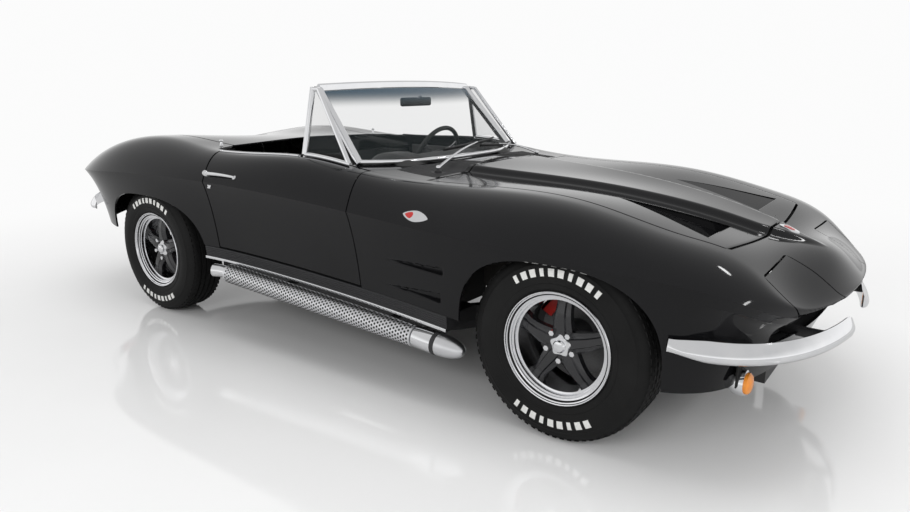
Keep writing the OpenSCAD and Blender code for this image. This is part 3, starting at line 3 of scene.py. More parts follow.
import bmesh
import bpy
import numpy as np
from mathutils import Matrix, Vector


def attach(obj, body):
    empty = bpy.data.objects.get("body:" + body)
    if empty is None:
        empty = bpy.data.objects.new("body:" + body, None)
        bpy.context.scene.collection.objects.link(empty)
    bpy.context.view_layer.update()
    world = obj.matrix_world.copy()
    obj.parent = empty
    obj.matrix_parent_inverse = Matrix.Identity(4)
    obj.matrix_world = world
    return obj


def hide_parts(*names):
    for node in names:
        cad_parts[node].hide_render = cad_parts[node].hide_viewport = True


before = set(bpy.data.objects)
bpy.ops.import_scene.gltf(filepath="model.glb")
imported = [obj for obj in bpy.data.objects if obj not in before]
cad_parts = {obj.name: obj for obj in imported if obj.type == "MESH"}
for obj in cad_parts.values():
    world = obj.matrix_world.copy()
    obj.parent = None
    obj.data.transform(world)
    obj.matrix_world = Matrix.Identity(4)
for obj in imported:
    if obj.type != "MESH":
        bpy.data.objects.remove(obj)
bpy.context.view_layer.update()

bl_info = {
    "name": "Open two-seat sports car",
    "version": (1, 0, 0),
    "blender": (4, 5, 0),
    "location": "View3D > Sidebar > Sports car",
    "description": "Dresses the packed open sports car with its panels, wheels, trim, cabin and studio",
    "category": "Object",
}

# Places of the car in metres, +X to the nose, +Y to the left, +Z up
HALF_W, HEIGHT, BODY_RISE = 0.884, 1.255, 0.608
FRONT_X, REAR_X = 1.390, -1.099
NOSE_X, TAIL_X, REACH_X = 2.205, -2.210, 2.225
AXLE_Z, WHEEL_Y = 0.347, 0.710
SHUT, LID_GAP, SKIN_T, LID_T = 0.006, 0.011, 0.010, 0.008
ARCH_L, ARCH_H = 0.392, 0.3178


def behind(share):
    """Place behind the front axle, as a share of the wheelbase."""
    return FRONT_X - (FRONT_X - REAR_X) * share


def ahead(share):
    """Place between the front arch and the nose."""
    return FRONT_X + ARCH_L + (NOSE_X - FRONT_X - ARCH_L) * share


DOOR_FRONT, DOOR_REAR, HOOD_REAR, COCKPIT_X = behind(0.3777), behind(0.7634), behind(0.2893), behind(0.8477)
JOINT_X, SPEAR_X, POD_REAR, POD_X = ahead(0.184), ahead(0.704), ahead(0.492), ahead(0.728)
LID_REAR = COCKPIT_X - 0.600
TAIL_JOINT = REAR_X - ARCH_L + (TAIL_X - REAR_X + ARCH_L) * 0.691
CABIN_W, SEAT_Y, SCREEN_W, HEAD_W = 0.660, 0.3525, 0.615, 0.575
BULGE_H, BULGE_W, SPEAR_W = 0.026, 0.290, 0.110
POD_IN, POD_OUT, POD_Z = 0.270, 0.570, 0.5705
VENT_FOOT_X, VENT_REAR_X, VENT_HEAD_Z = FRONT_X - 1.085, FRONT_X - 1.370, 1.225
VENT_Y, VENT_HEAD_Y = 0.680, 0.612
# Shares of the skirt down to the panels' lower edges, and how much longer the rear opening is to the front
FOOT, REAR_FOOT, REAR_REACH = 0.84, 0.82, 0.09
# Shares of the half width at the edges of the rear deck and of the door tops
DECK, CROWN = 0.60, 0.80
# Powers of the plan's curves at nose and tail and of the wheel openings
NOSE_PLAN, TAIL_PLAN, ARCH_POWER = (4, 2), (3.6, 2.2), 2.6
# How far the doors' cut lines lean back at the top, the hood's inset from the wing crowns and its front edge's bow
FRONT_LEAN, REAR_LEAN, HOOD_INSET, HOOD_BOW = 0.96 * 0.055, 0.96 * 0.085, 0.05, 0.030
# Half the step of a slope along the waist
STEP = 0.0009

# Columns: place (0 tail, 1 rear axle, 2 front axle, 3 nose), half width, waist, crown place, crown, middle,
# lower edge, tuck
SECTIONS = np.array([
    [0.000, 1.000, 0.583, 0.680, 0.591, 0.591, 0.121, 0.340],
    [0.270, 1.000, 0.635, 0.715, 0.761, 0.730, 0.055, 0.180],
    [0.584, 1.000, 0.674, 0.700, 0.934, 0.864, 0.022, 0.090],
    [0.990, 1.000, 0.709, 0.705, 1.000, 0.959, 0.022, 0.034],
    [1.157, 0.992, 0.717, 0.765, 0.940, 0.967, 0.046, 0.068],
    [1.316, 0.980, 0.703, 0.810, 0.930, 0.975, 0.030, 0.096],
    [1.478, 0.974, 0.674, 0.815, 0.934, 0.959, 0.005, 0.096],
    [1.618, 0.976, 0.641, 0.795, 0.864, 0.891, -0.020, 0.090],
    [1.799, 0.990, 0.596, 0.700, 0.827, 0.818, -0.044, 0.057],
    [1.999, 1.000, 0.558, 0.690, 0.792, 0.744, -0.077, 0.023],
    [2.431, 1.000, 0.523, 0.710, 0.666, 0.639, -0.086, 0.045],
    [2.735, 1.000, 0.420, 0.785, 0.503, 0.536, -0.094, 0.113],
    [2.892, 1.000, 0.313, 0.970, 0.346, 0.472, -0.094, 0.160],
    [3.000, 1.000, 0.331, 0.980, 0.335, 0.333, -0.094, 0.180]])


def curls(xs, ys):
    """Second differences of the natural cubic spline through the points."""
    n, h = len(xs), np.diff(xs)
    a, b = np.eye(n), np.zeros(n)
    for i in range(1, n - 1):
        a[i, i - 1:i + 2] = h[i - 1], 2 * (h[i - 1] + h[i]), h[i]
        b[i] = 6 * ((ys[i + 1] - ys[i]) / h[i] - (ys[i] - ys[i - 1]) / h[i - 1])
    return np.linalg.solve(a, b)


PLACES = np.interp(SECTIONS[:, 0], [0, 1, 2, 3], [TAIL_X, REAR_X, FRONT_X, NOSE_X])
CURLS = [curls(PLACES, SECTIONS[:, c]) for c in range(8)]


def rail(c, x):
    """A column of the sections, carried along the car by its spline."""
    xs, ys, m = PLACES, SECTIONS[:, c], CURLS[c]
    t = np.asarray(x, float)
    i = np.clip(np.searchsorted(xs, t, "right") - 1, 0, len(xs) - 2)
    h = xs[i + 1] - xs[i]
    a = (xs[i + 1] - t) / h
    b = 1 - a
    return a * ys[i] + b * ys[i + 1] + ((a ** 3 - a) * m[i] + (b ** 3 - b) * m[i + 1]) * h * h / 6


def mix(a, b, t):
    return a + (b - a) * t


def clamp(t):
    return np.clip(t, 0, 1)


def smooth(t):
    c = clamp(t)
    return c * c * (3 - 2 * c)


# The skins stop just short of the ends, where the plan closes
NOSE_END, TAIL_END = mix(FRONT_X, NOSE_X, 0.9995), mix(REAR_X, TAIL_X, 0.9995)


def closing(t, p, r):
    return (1 - clamp(t) ** p) ** (1 / r)


def waist_y(x):
    """Half width at the waist crease, rounded in at nose and tail."""
    return HALF_W * rail(1, x) * closing((x - FRONT_X) / (NOSE_X - FRONT_X), *NOSE_PLAN) \
        * closing((REAR_X - x) / (REAR_X - TAIL_X), *TAIL_PLAN)


def level(c, x):
    return AXLE_Z + BODY_RISE * rail(c, x)


def waist_z(x):
    return level(2, x)


def foot_z(x):
    return level(6, x)


def inward(x):
    """Level direction from the waist into the car, on the left side."""
    d = (waist_y(x + STEP) - waist_y(x - STEP)) / (2 * STEP)
    n = np.stack([d, -np.ones_like(d), np.zeros_like(d)], -1)
    return n / np.linalg.norm(n, axis=-1, keepdims=True)


def bulge(x, y):
    """Rise of the hood's middle and of the spear ahead of it."""
    taper = np.where(x > JOINT_X, SPEAR_W * clamp((SPEAR_X - x) / (SPEAR_X - JOINT_X)),
                     mix(BULGE_W, SPEAR_W, clamp((x - HOOD_REAR) / (JOINT_X - HOOD_REAR))))
    return BULGE_H * smooth((taper - np.abs(y)) / (2 * BULGE_H) + 0.5) \
        * clamp((x - DOOR_FRONT) / (HOOD_REAR - DOOR_FRONT)) * clamp(1.5 * (SPEAR_X - x) / (SPEAR_X - JOINT_X))


def top_z(x, e):
    c, zb, zc, zm = rail(3, x), waist_z(x), level(4, x), level(5, x)
    return np.where(e < c, mix(zm, zc, smooth(e / c)), mix(zc, zb, clamp((e - c) / (1 - c)) ** 2.4))


def skin(x, w):
    """Point of the body's outer surface: w 0 on the middle line, 1 on the waist crease, 2 on the lower edge."""
    x, w = np.broadcast_arrays(np.asarray(x, float), np.asarray(w, float))
    a, y = np.abs(w), waist_y(x)
    top = np.stack([x, a * y, top_z(x, a) + np.where(a < 1, bulge(x, a * y), 0)], -1)
    s = np.maximum(a - 1, 0)
    tuck = HALF_W * rail(7, x) * 2 * s / (1 + s)
    side = np.stack([x, y, mix(waist_z(x), foot_z(x), s)], -1) + tuck[..., None] * inward(x)
    p = np.where((a <= 1)[..., None], top, side)
    p[..., 1] = np.where(w < 0, -p[..., 1], p[..., 1])
    return p


def depth(x, w):
    """Direction from the outer surface into the car."""
    x, w = np.broadcast_arrays(np.asarray(x, float), np.asarray(w, float))
    a = np.abs(w)
    f = np.where(a <= 1, a ** 3, 1.0)
    d = np.where(a <= 1, 1 - 0.3 * f, 0.7 * clamp(1 - 3 * (a - 1)))
    v = f[..., None] * inward(x)
    v[..., 2] -= d
    v[..., 1] = np.where(w < 0, -v[..., 1], v[..., 1])
    return v / np.linalg.norm(v, axis=-1, keepdims=True)


def share_of(x, y):
    return y / waist_y(x)


def skirt_share(x, z):
    return (waist_z(x) - z) / (waist_z(x) - foot_z(x))


def arch_z(x, axle):
    return AXLE_Z + ARCH_H * closing(np.abs(x - axle) / ARCH_L, ARCH_POWER, ARCH_POWER)


def lean(w, run):
    return run * clamp((1 - np.abs(w)) / (1 - CROWN))


def front_cut(w):
    return DOOR_FRONT - lean(w, FRONT_LEAN)


def rear_cut(w):
    return DOOR_REAR - lean(w, REAR_LEAN)


def hood_share(x):
    return rail(3, x) - HOOD_INSET


JOINT_SHARE = float(hood_share(np.array(JOINT_X)))


def hood_cut(w):
    """The hood's curved front edge."""
    return JOINT_X + HOOD_BOW * (1 - clamp(np.abs(w) / JOINT_SHARE) ** 2)


def on_top(x, y, rise=0.0):
    """Point on the top of the body over a place in plan."""
    x, y = np.broadcast_arrays(np.asarray(x, float), np.asarray(y, float))
    p = skin(x, np.abs(y) / waist_y(x))
    p[..., 1] = y
    p[..., 2] += rise
    return p


# Meshes
def grid_faces(n, m, round_u=False, round_v=False):
    i, j = np.meshgrid(np.arange(n if round_u else n - 1), np.arange(m if round_v else m - 1), indexing="ij")
    i, j = i.ravel(), j.ravel()
    a, b = (i + 1) % n, (j + 1) % m
    return np.stack([i * m + j, a * m + j, a * m + b, i * m + b], -1)


def tube_faces(n, m):
    """Faces of n rings of m points, with both ends capped."""
    return grid_faces(n, m, False, True).tolist() + [tuple(range(m))[::-1], tuple((n - 1) * m + j for j in range(m))]


def shell(outer, inner):
    """Closed slab between two grids; also the edges of its outer rim."""
    n, m = outer.shape[:2]
    k = n * m
    f = grid_faces(n, m)
    rim = [i * m for i in range(n - 1)] + [(n - 1) * m + j for j in range(m - 1)] \
        + [i * m + m - 1 for i in range(n - 1, 0, -1)] + list(range(m - 1, 0, -1))
    pairs = list(zip(rim, rim[1:] + rim[:1]))
    faces = f.tolist() + (f[:, ::-1] + k).tolist() + [(b, a, a + k, b + k) for a, b in pairs]
    return np.concatenate([outer.reshape(-1, 3), inner.reshape(-1, 3)]), faces, pairs


def lathe(profile, centre, axis, n=64):
    """Closed ring of a profile of (radius, height) points about an axis."""
    z = np.array(axis, float) / np.linalg.norm(axis)
    x = np.cross(z, (0, 0, 1) if abs(z[2]) < 0.9 else (1, 0, 0))
    x /= np.linalg.norm(x)
    y = np.cross(z, x)
    p = np.array(profile, float)
    t = np.arange(n) * 2 * np.pi / n
    ring = np.cos(t)[:, None, None] * x + np.sin(t)[:, None, None] * y
    pts = np.array(centre) + p[None, :, :1] * ring + p[None, :, 1:] * z
    return pts.reshape(-1, 3), grid_faces(n, len(p), True, True).tolist()


def spun(profile, centre, axis, n=64):
    """A turned solid: the profile runs from the axis to the axis."""
    verts, faces = lathe([(max(r, 1e-5), h) for r, h in profile], centre, axis, n)
    m = len(profile)
    return verts, [f for f in faces if not (f[0] % m == m - 1 or f[2] % m == 0 and f[0] % m != 0)] \
        + [tuple(i * m for i in range(n))[::-1], tuple(i * m + m - 1 for i in range(n))]


def sweep(path, section, up=(0, 0, 1), scale=None):
    """A section of (across, up) points carried along a path, with capped ends."""
    path, section = np.asarray(path, float), np.asarray(section, float)
    n, m = len(path), len(section)
    t = np.gradient(path, axis=0)
    t /= np.linalg.norm(t, axis=1, keepdims=True)
    s = np.cross(np.broadcast_to(np.asarray(up, float), path.shape), t)
    s /= np.linalg.norm(s, axis=1, keepdims=True)
    u = np.cross(t, s)
    k = np.ones((n, 2)) if scale is None else np.asarray(scale, float).reshape(n, -1) * np.ones((1, 2))
    pts = path[:, None] + section[None, :, :1] * k[:, None, :1] * s[:, None] \
        + section[None, :, 1:] * k[:, None, 1:] * u[:, None]
    return pts.reshape(-1, 3), tube_faces(n, m)


def rounded(w, h, r, n=4):
    """Rounded rectangle of width w and height h as (across, up) points."""
    r = min(r, w / 2 - 1e-5, h / 2 - 1e-5)
    x, y = w / 2 - r, h / 2 - r
    return np.array([(cx + r * math.cos(t + q * np.pi / 2), cy + r * math.sin(t + q * np.pi / 2))
                     for q, (cx, cy) in enumerate(((x, y), (-x, y), (-x, -y), (x, -y)))
                     for t in np.linspace(0, np.pi / 2, n)])


def circle(r, n=16):
    t = np.arange(n) * 2 * np.pi / n
    return np.stack([r * np.cos(t), r * np.sin(t)], -1)


def ball(r, rise, n):
    """Profile of a knob on a stalk, for a turned solid."""
    return [(r * math.sin(a) + 1e-5, rise - r * math.cos(a)) for a in np.linspace(0.02, math.pi - 0.02, n)]


def brick(lo, hi, r=0.003, segments=2):
    """Box with rolled edges."""
    bm = bmesh.new()
    bmesh.ops.create_cube(bm, size=1)
    lo, hi = np.minimum(lo, hi), np.maximum(lo, hi)
    for v in bm.verts:
        v.co = Vector((lo + hi) / 2) + Vector(np.array(v.co) * (hi - lo))
    bmesh.ops.bevel(bm, geom=list(bm.edges), offset=r, segments=segments, profile=0.5, affect="EDGES")
    bm.verts.index_update()
    out = np.array([v.co[:] for v in bm.verts]), [tuple(v.index for v in f.verts) for f in bm.faces]
    bm.free()
    return out


def face_outwards(mesh):
    bm = bmesh.new()
    bm.from_mesh(mesh)
    bmesh.ops.recalc_face_normals(bm, faces=bm.faces)
    bm.to_mesh(mesh)
    bm.free()


def new_object(name, data):
    obj = bpy.data.objects.new(name, data)
    bpy.context.scene.collection.objects.link(obj)
    return obj


def bake(obj):
    """Applies the piece's modifiers to its mesh."""
    graph = bpy.context.evaluated_depsgraph_get()
    mesh = bpy.data.meshes.new_from_object(obj.evaluated_get(graph))
    obj.modifiers.clear()
    obj.data = mesh


def cut_away(obj, verts, faces):
    """Cuts a closed shape out of a piece, so that shut lines are clean."""
    mesh = bpy.data.meshes.new("cutter")
    mesh.from_pydata(np.asarray(verts).tolist(), [], faces)
    face_outwards(mesh)
    cutter = new_object("cutter", mesh)
    mod = obj.modifiers.new("cut", "BOOLEAN")
    mod.operation, mod.solver, mod.object = "DIFFERENCE", "EXACT", cutter
    bake(obj)
    bpy.data.objects.remove(cutter)
    bpy.data.meshes.remove(mesh)


class Piece:
    """Gathers the parts of one mesh, each with its own finish, and makes the object; side -1 mirrors them."""

    def __init__(self, name, side=1):
        self.name, self.flip = name, (1, side, 1)
        self.verts, self.faces, self.mats, self.looks, self.hard = [], [], [], [], []

    def add(self, verts, faces, look, hard=()):
        if look not in self.looks:
            self.looks.append(look)
        k = sum(len(v) for v in self.verts)
        self.verts.append(np.asarray(verts, float).reshape(-1, 3) * self.flip)
        self.faces += [tuple(int(i) + k for i in f) for f in faces]
        self.mats += [self.looks.index(look)] * len(faces)
        self.hard += [tuple(sorted((a + k, b + k))) for a, b in hard]
        return self

    def slab(self, look, outer, inner):
        verts, faces, rim = shell(outer, inner)
        return self.add(verts, faces, look, rim)

    def turned(self, look, *shape):
        return self.add(*spun(*shape), look)

    def ring(self, look, *shape):
        return self.add(*lathe(*shape), look)

    def bar(self, look, path, section, **more):
        return self.add(*sweep(path, section, **more), look)

    def block(self, look, *shape):
        return self.add(*brick(*shape), look)

    def dome(self, look, low, high, peak):
        """Ring wall from low to high, closed by a shallow cone."""
        n = len(low)
        faces = grid_faces(2, n, False, True).tolist() + [(n + i, n + (i + 1) % n, 2 * n) for i in range(n)]
        return self.add(np.concatenate([low, high, [peak]]), faces, look)

    def both(self, look, verts, faces):
        """The part and its mirror image."""
        return self.add(verts, faces, look).add(verts * np.array((1, -1, 1)), faces, look)

    def make(self, body, nodes=(), slot=None, angle=35, bevel=0.0):
        mesh = bpy.data.meshes.new(self.name)
        mesh.from_pydata(np.concatenate(self.verts).tolist(), [], self.faces)
        for look in self.looks:
            mesh.materials.append(finish(look))
        mesh.polygons.foreach_set("material_index", self.mats)
        face_outwards(mesh)
        mesh.shade_smooth()
        mesh.set_sharp_from_angle(angle=math.radians(angle))
        obj = new_object(self.name, mesh)
        if bevel:
            keys = set(self.hard)
            weight = mesh.attributes.new("bevel_weight_edge", "FLOAT", "EDGE")
            weight.data.foreach_set("value", [float(tuple(sorted(e.vertices)) in keys) for e in mesh.edges])
            mod = obj.modifiers.new("rolled edge", "BEVEL")
            mod.limit_method, mod.width, mod.segments = "WEIGHT", bevel, 2
        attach(obj, body)
        if nodes:
            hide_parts(*nodes)
        return obj


def hand(side):
    return "left" if side > 0 else "right"


# Materials
class Value:
    """A socket whose arithmetic adds the nodes it needs."""

    def __init__(self, net, socket):
        self.net, self.socket = net, socket

    def _math(self, operation, *values):
        return self.net.add("ShaderNodeMath", {"operation": operation}, dict(enumerate(values)))

    def __add__(self, other):
        return self._math("ADD", self, other)

    def __sub__(self, other):
        return self._math("SUBTRACT", self, other)

    def __rsub__(self, other):
        return self._math("SUBTRACT", other, self)

    def __mul__(self, other):
        return self._math("MULTIPLY", self, other)

    def __pow__(self, other):
        return self._math("POWER", self, other)

    def __rpow__(self, other):
        return self._math("POWER", other, self)

    def larger(self, other):
        return self._math("MAXIMUM", self, other)

    def sine(self):
        return self._math("SINE", self)

    __radd__, __rmul__ = __add__, __mul__


class Net:
    """The nodes of one material or world."""

    def __init__(self, owner):
        owner.use_nodes = True
        self.owner, self.tree = owner, owner.node_tree
        self.tree.nodes.clear()

    def add(self, kind, settings=None, inputs=None, output=0):
        node = self.tree.nodes.new(kind)
        for key, value in (settings or {}).items():
            setattr(node, key, value)
        for key, value in (inputs or {}).items():
            if isinstance(value, Value):
                self.tree.links.new(value.socket, node.inputs[key])
            else:
                node.inputs[key].default_value = value
        return Value(self, node.outputs[output]) if node.outputs else None

    def place(self, kind="Object"):
        return self.add("ShaderNodeTexCoord", output=kind)

    def axis(self, name, kind="Object"):
        return self.add("ShaderNodeSeparateXYZ", inputs={0: self.place(kind)}, output=name)

    def noise(self, scale, detail=3.0):
        return self.add("ShaderNodeTexNoise", inputs={"Vector": self.place(), "Scale": scale, "Detail": detail})

    def cells(self, scale):
        return self.add("ShaderNodeTexVoronoi", inputs={"Vector": self.place(), "Scale": scale})

    def band(self, value, start, end, low, high):
        return self.add("ShaderNodeMapRange", {"interpolation_type": "SMOOTHSTEP"},
                        {0: value, 1: start, 2: end, 3: low, 4: high})

    def colour(self, factor, a, b):
        return self.add("ShaderNodeMix", {"data_type": "RGBA"}, {0: factor, 6: (*a, 1), 7: (*b, 1)}, output=2)

    def bump(self, height, distance, strength):
        return self.add("ShaderNodeBump", inputs={"Height": height, "Distance": distance, "Strength": strength})

    def ray(self, kind):
        return self.add("ShaderNodeLightPath", output=kind)

    def light(self, kind, colour, strength):
        return self.add(kind, inputs={"Color": (colour, colour, colour, 1), "Strength": strength})

    def blend(self, factor, a, b):
        return self.add("ShaderNodeMixShader", inputs={0: factor, 1: a, 2: b})

    def surface(self, **inputs):
        shader = self.add("ShaderNodeBsdfPrincipled", inputs={k.replace("_", " "): v for k, v in inputs.items()})
        self.add("ShaderNodeOutputMaterial", inputs={0: shader})
        return self.owner


def setting(name):
    """A value from the add-on's sidebar."""
    return getattr(bpy.context.scene.car_finish, name)


def grey(shade):
    return shade, shade, shade


def body_paint(net):
    dust, peel = net.noise(3.0), net.noise(420.0, 1.0)
    base = tuple(setting("paint"))
    return net.surface(Base_Color=net.colour(dust, base, tuple(c * 1.6 + 0.001 for c in base)),
                       Roughness=0.045 + dust * 0.03, Coat_Weight=0.10, Coat_Roughness=0.03, IOR=1.28,
                       Normal=net.bump(peel, 0.00004, 0.25))


def chrome(net):
    haze, fine = net.noise(14.0), net.noise(160.0, 2.0)
    return net.surface(Base_Color=net.colour(haze, (0.78, 0.79, 0.81), (0.90, 0.90, 0.91)), Metallic=1.0,
                       Roughness=0.04 + haze * 0.05, Normal=net.bump(fine, 0.00005, 0.2))


def tyre_rubber(net):
    grain, wear = net.noise(240.0, 4.0), net.noise(9.0)
    return net.surface(Base_Color=net.colour(wear, grey(0.006), grey(0.013)), Roughness=0.45 + grain * 0.25, IOR=1.25,
                       Normal=net.bump(grain, 0.0003, 0.5))


def screen_tint(net):
    band, smear = net.band(net.axis("Z"), 1.13, 1.21, 0.0, 1.0), net.noise(6.0)
    return net.surface(Base_Color=net.colour(band, (0.05, 0.065, 0.068), (0.012, 0.045, 0.075)),
                       Roughness=0.01 + smear * 0.02, Alpha=0.08 + band * 0.72, IOR=1.5)


def plain_glass(net):
    smear = net.noise(6.0)
    return net.surface(Base_Color=net.colour(smear, (0.04, 0.05, 0.052), (0.055, 0.065, 0.068)),
                       Roughness=0.01 + smear * 0.02, Alpha=0.10 + smear * 0.03, IOR=1.5)


def dial_face(net):
    return net.surface(Base_Color=net.colour(net.noise(200.0), grey(0.008), grey(0.02)),
                       Roughness=0.25 + net.noise(30.0) * 0.1)


def grained(scale, detail, dark, light, rough, spread, rise, strength, **more):
    """A finish whose colour, sheen and grain follow one noise."""
    def make(net):
        grain = net.noise(scale, detail)
        return net.surface(Base_Color=net.colour(grain, dark, light), Roughness=rough + grain * spread,
                           Normal=net.bump(grain, rise, strength), **more)
    return make


def pebbled(scale, cloud, dark, light, rough, spread, rise, strength):
    """Hide or moulded trim: small cells under a cloudy wear."""
    def make(net):
        wear = net.noise(cloud)
        return net.surface(Base_Color=net.colour(wear, dark, light), Roughness=rough + wear * spread,
                           Normal=net.bump(net.cells(scale), rise, strength))
    return make


def fluted(pitch, cloud, dark, light, rough, haze, spread, **more):
    """A lens with fine upright flutes."""
    def make(net):
        flute = (net.axis("Y") * pitch).sine()
        return net.surface(Base_Color=net.colour(net.noise(cloud), dark, light),
                           Roughness=rough + net.noise(haze) * spread, Normal=net.bump(flute, 0.0006, 0.5), **more)
    return make


FINISHES = {
    "body_paint": body_paint, "chrome": chrome, "tyre_rubber": tyre_rubber,
    "screen_tint": screen_tint, "plain_glass": plain_glass, "dial_face": dial_face,
    "polished_alloy": grained(90.0, 2.0, (0.74, 0.75, 0.77), (0.86, 0.86, 0.88), 0.09, 0.08, 0.0001, 0.3, Metallic=1.0),
    "spoke_black": grained(60.0, 3.0, (0.008, 0.008, 0.009), (0.018, 0.018, 0.02), 0.18, 0.10, 0.0002, 0.3,
                           Coat_Weight=0.35),
    "satin_black": grained(80.0, 3.0, (0.010, 0.010, 0.011), (0.028, 0.028, 0.03), 0.42, 0.2, 0.0004, 0.4),
    # Painted shade: a near-black finish for the backs of holes, bores, gaps and the mouth, where only shade is seen
    "dark_void": grained(30.0, 3.0, grey(0.003), grey(0.008), 0.75, 0.2, 0.001, 0.4),
    "tyre_mark": grained(180.0, 3.0, (0.62, 0.62, 0.60), (0.80, 0.80, 0.78), 0.55, 0.2, 0.0003, 0.4),
    "brake_iron": grained(200.0, 2.0, grey(0.10), grey(0.20), 0.35, 0.2, 0.0003, 0.4, Metallic=0.8),
    "caliper_red": grained(70.0, 3.0, (0.38, 0.012, 0.010), (0.52, 0.03, 0.022), 0.30, 0.2, 0.0005, 0.4),
    "carpet": grained(700.0, 2.0, grey(0.006), grey(0.03), 0.95, -0.1, 0.002, 0.8),
    "cast_iron": grained(120.0, 4.0, grey(0.05), (0.14, 0.13, 0.12), 0.55, 0.25, 0.001, 0.5, Metallic=0.6),
    "pipe_chrome": grained(18.0, 3.0, (0.70, 0.71, 0.73), (0.84, 0.84, 0.85), 0.26, 0.08, 0.0002, 0.2, Metallic=1.0),
    "seat_hide": pebbled(420.0, 7.0, (0.012, 0.012, 0.013), (0.035, 0.034, 0.034), 0.38, 0.2, 0.0005, 0.5),
    "cabin_black": pebbled(700.0, 5.0, grey(0.010), grey(0.022), 0.50, 0.15, 0.0003, 0.4),
    "lamp_glass": fluted(900.0, 30.0, (0.72, 0.74, 0.76), (0.86, 0.87, 0.88), 0.05, 20.0, 0.05, Metallic=0.55),
    "amber": fluted(1400.0, 40.0, (0.72, 0.20, 0.012), (0.90, 0.34, 0.03), 0.12, 30.0, 0.06, Coat_Weight=0.5),
    "ruby": fluted(900.0, 40.0, (0.30, 0.006, 0.006), (0.46, 0.015, 0.012), 0.12, 30.0, 0.06, Coat_Weight=0.5),
}
MATERIALS = {}


def finish(name):
    """The material of that name, made once."""
    if name not in MATERIALS:
        MATERIALS[name] = FINISHES[name](Net(bpy.data.materials.new(name)))
    return MATERIALS[name]


# Body panels
def sink(x, y, corners, deep, soft):
    """How far a wedge recess goes in at plan places: deepest at its front edge, level at its tip.

    corners are the tip, the front edge's outer end and its inner end."""
    tip, a, b = (np.array(c, float) for c in corners)

    def side(p, q):
        n = np.array([-(q - p)[1], (q - p)[0]])
        n /= np.linalg.norm(n)
        return (x - p[0]) * n[0] + (y - p[1]) * n[1]

    turn = np.sign((a - tip)[0] * (b - tip)[1] - (a - tip)[1] * (b - tip)[0])
    edge = np.minimum(np.minimum(turn * side(tip, a), turn * side(a, b)), turn * side(b, tip))
    front = (a + b) / 2 - tip
    run = ((x - tip[0]) * front[0] + (y - tip[1]) * front[1]) / (front @ front)
    return deep * clamp(run) * smooth(edge / soft + 0.5)


def panel(name, x, w, t, body, nodes, drop=0.0):
    """A painted sheet of the skin, t thick and sunk in by drop."""
    d = depth(x, w)
    drop = np.broadcast_to(drop, np.shape(x))[..., None] * d
    piece = Piece(name).slab("body_paint", skin(x, w) + drop, skin(x, w) + t * d + drop)
    return piece.make(body, nodes, "body_paint", bevel=setting("rolled_edge"), angle=40)


def rows(top, foot, n, m):
    """Shares from the top over the crease to the foot, close together at the crease."""
    e = np.linspace(0, 1, n, endpoint=False)
    a = 1 - (1 - e) ** 1.5
    b = np.linspace(0, 1, m + 1) ** 1.2
    top, foot = np.asarray(top, float)[..., None], np.asarray(foot, float)[..., None]
    return np.concatenate([top + (1 - top) * a, 1 + (foot - 1) * b], -1)


# The wing's two louvres: tip, then upper and lower end of the front edge, from the front axle and in height
LOUVRES = (((-0.797, 0.560), (-0.463, 0.571), (-0.463, 0.545)), ((-0.807, 0.446), (-0.483, 0.465), (-0.483, 0.432)))
LOUVRE_DEEP, LOUVRE_SOFT = 0.022, 0.005


def fender(side):
    arch = FRONT_X - ARCH_L
    x = np.concatenate([np.linspace(DOOR_FRONT + SHUT / 2, arch - 0.02, 96), [arch - 0.002],
                        FRONT_X - ARCH_L * np.cos(np.linspace(0, np.pi, 91)),
                        np.linspace(FRONT_X + ARCH_L + 0.004, JOINT_X, 14)])
    u = clamp((arch - x) / (arch - DOOR_FRONT))
    e = x + u * (front_cut(0) - DOOR_FRONT)
    low = np.where(x < FRONT_X, FOOT, 1.0)
    foot = np.where(np.abs(x - FRONT_X) <= ARCH_L, np.minimum(low, skirt_share(x, arch_z(x, FRONT_X))), low)
    w = rows(hood_share(e) + share_of(e, SHUT), 1 + foot, 40, 78)
    xs = x[:, None] + u[:, None] * (front_cut(w) - DOOR_FRONT)
    z = skin(xs, w)[..., 2]
    drop = sum(sink(xs, z, [(FRONT_X + a, b) for a, b in c], LOUVRE_DEEP, LOUVRE_SOFT) for c in LOUVRES) * (w > 1)
    panel(f"wing_{hand(side)}", xs, side * w, SKIN_T, "body", ["fenders"], drop)


# The hood's recesses in plan: tip, outer and inner end of the front edge
RECESS = ((1.385, 0.322), (1.786, 0.500), (1.779, 0.205))
RECESS_DEEP, RECESS_LIP, PAN_T = 0.036, 0.004, 0.003


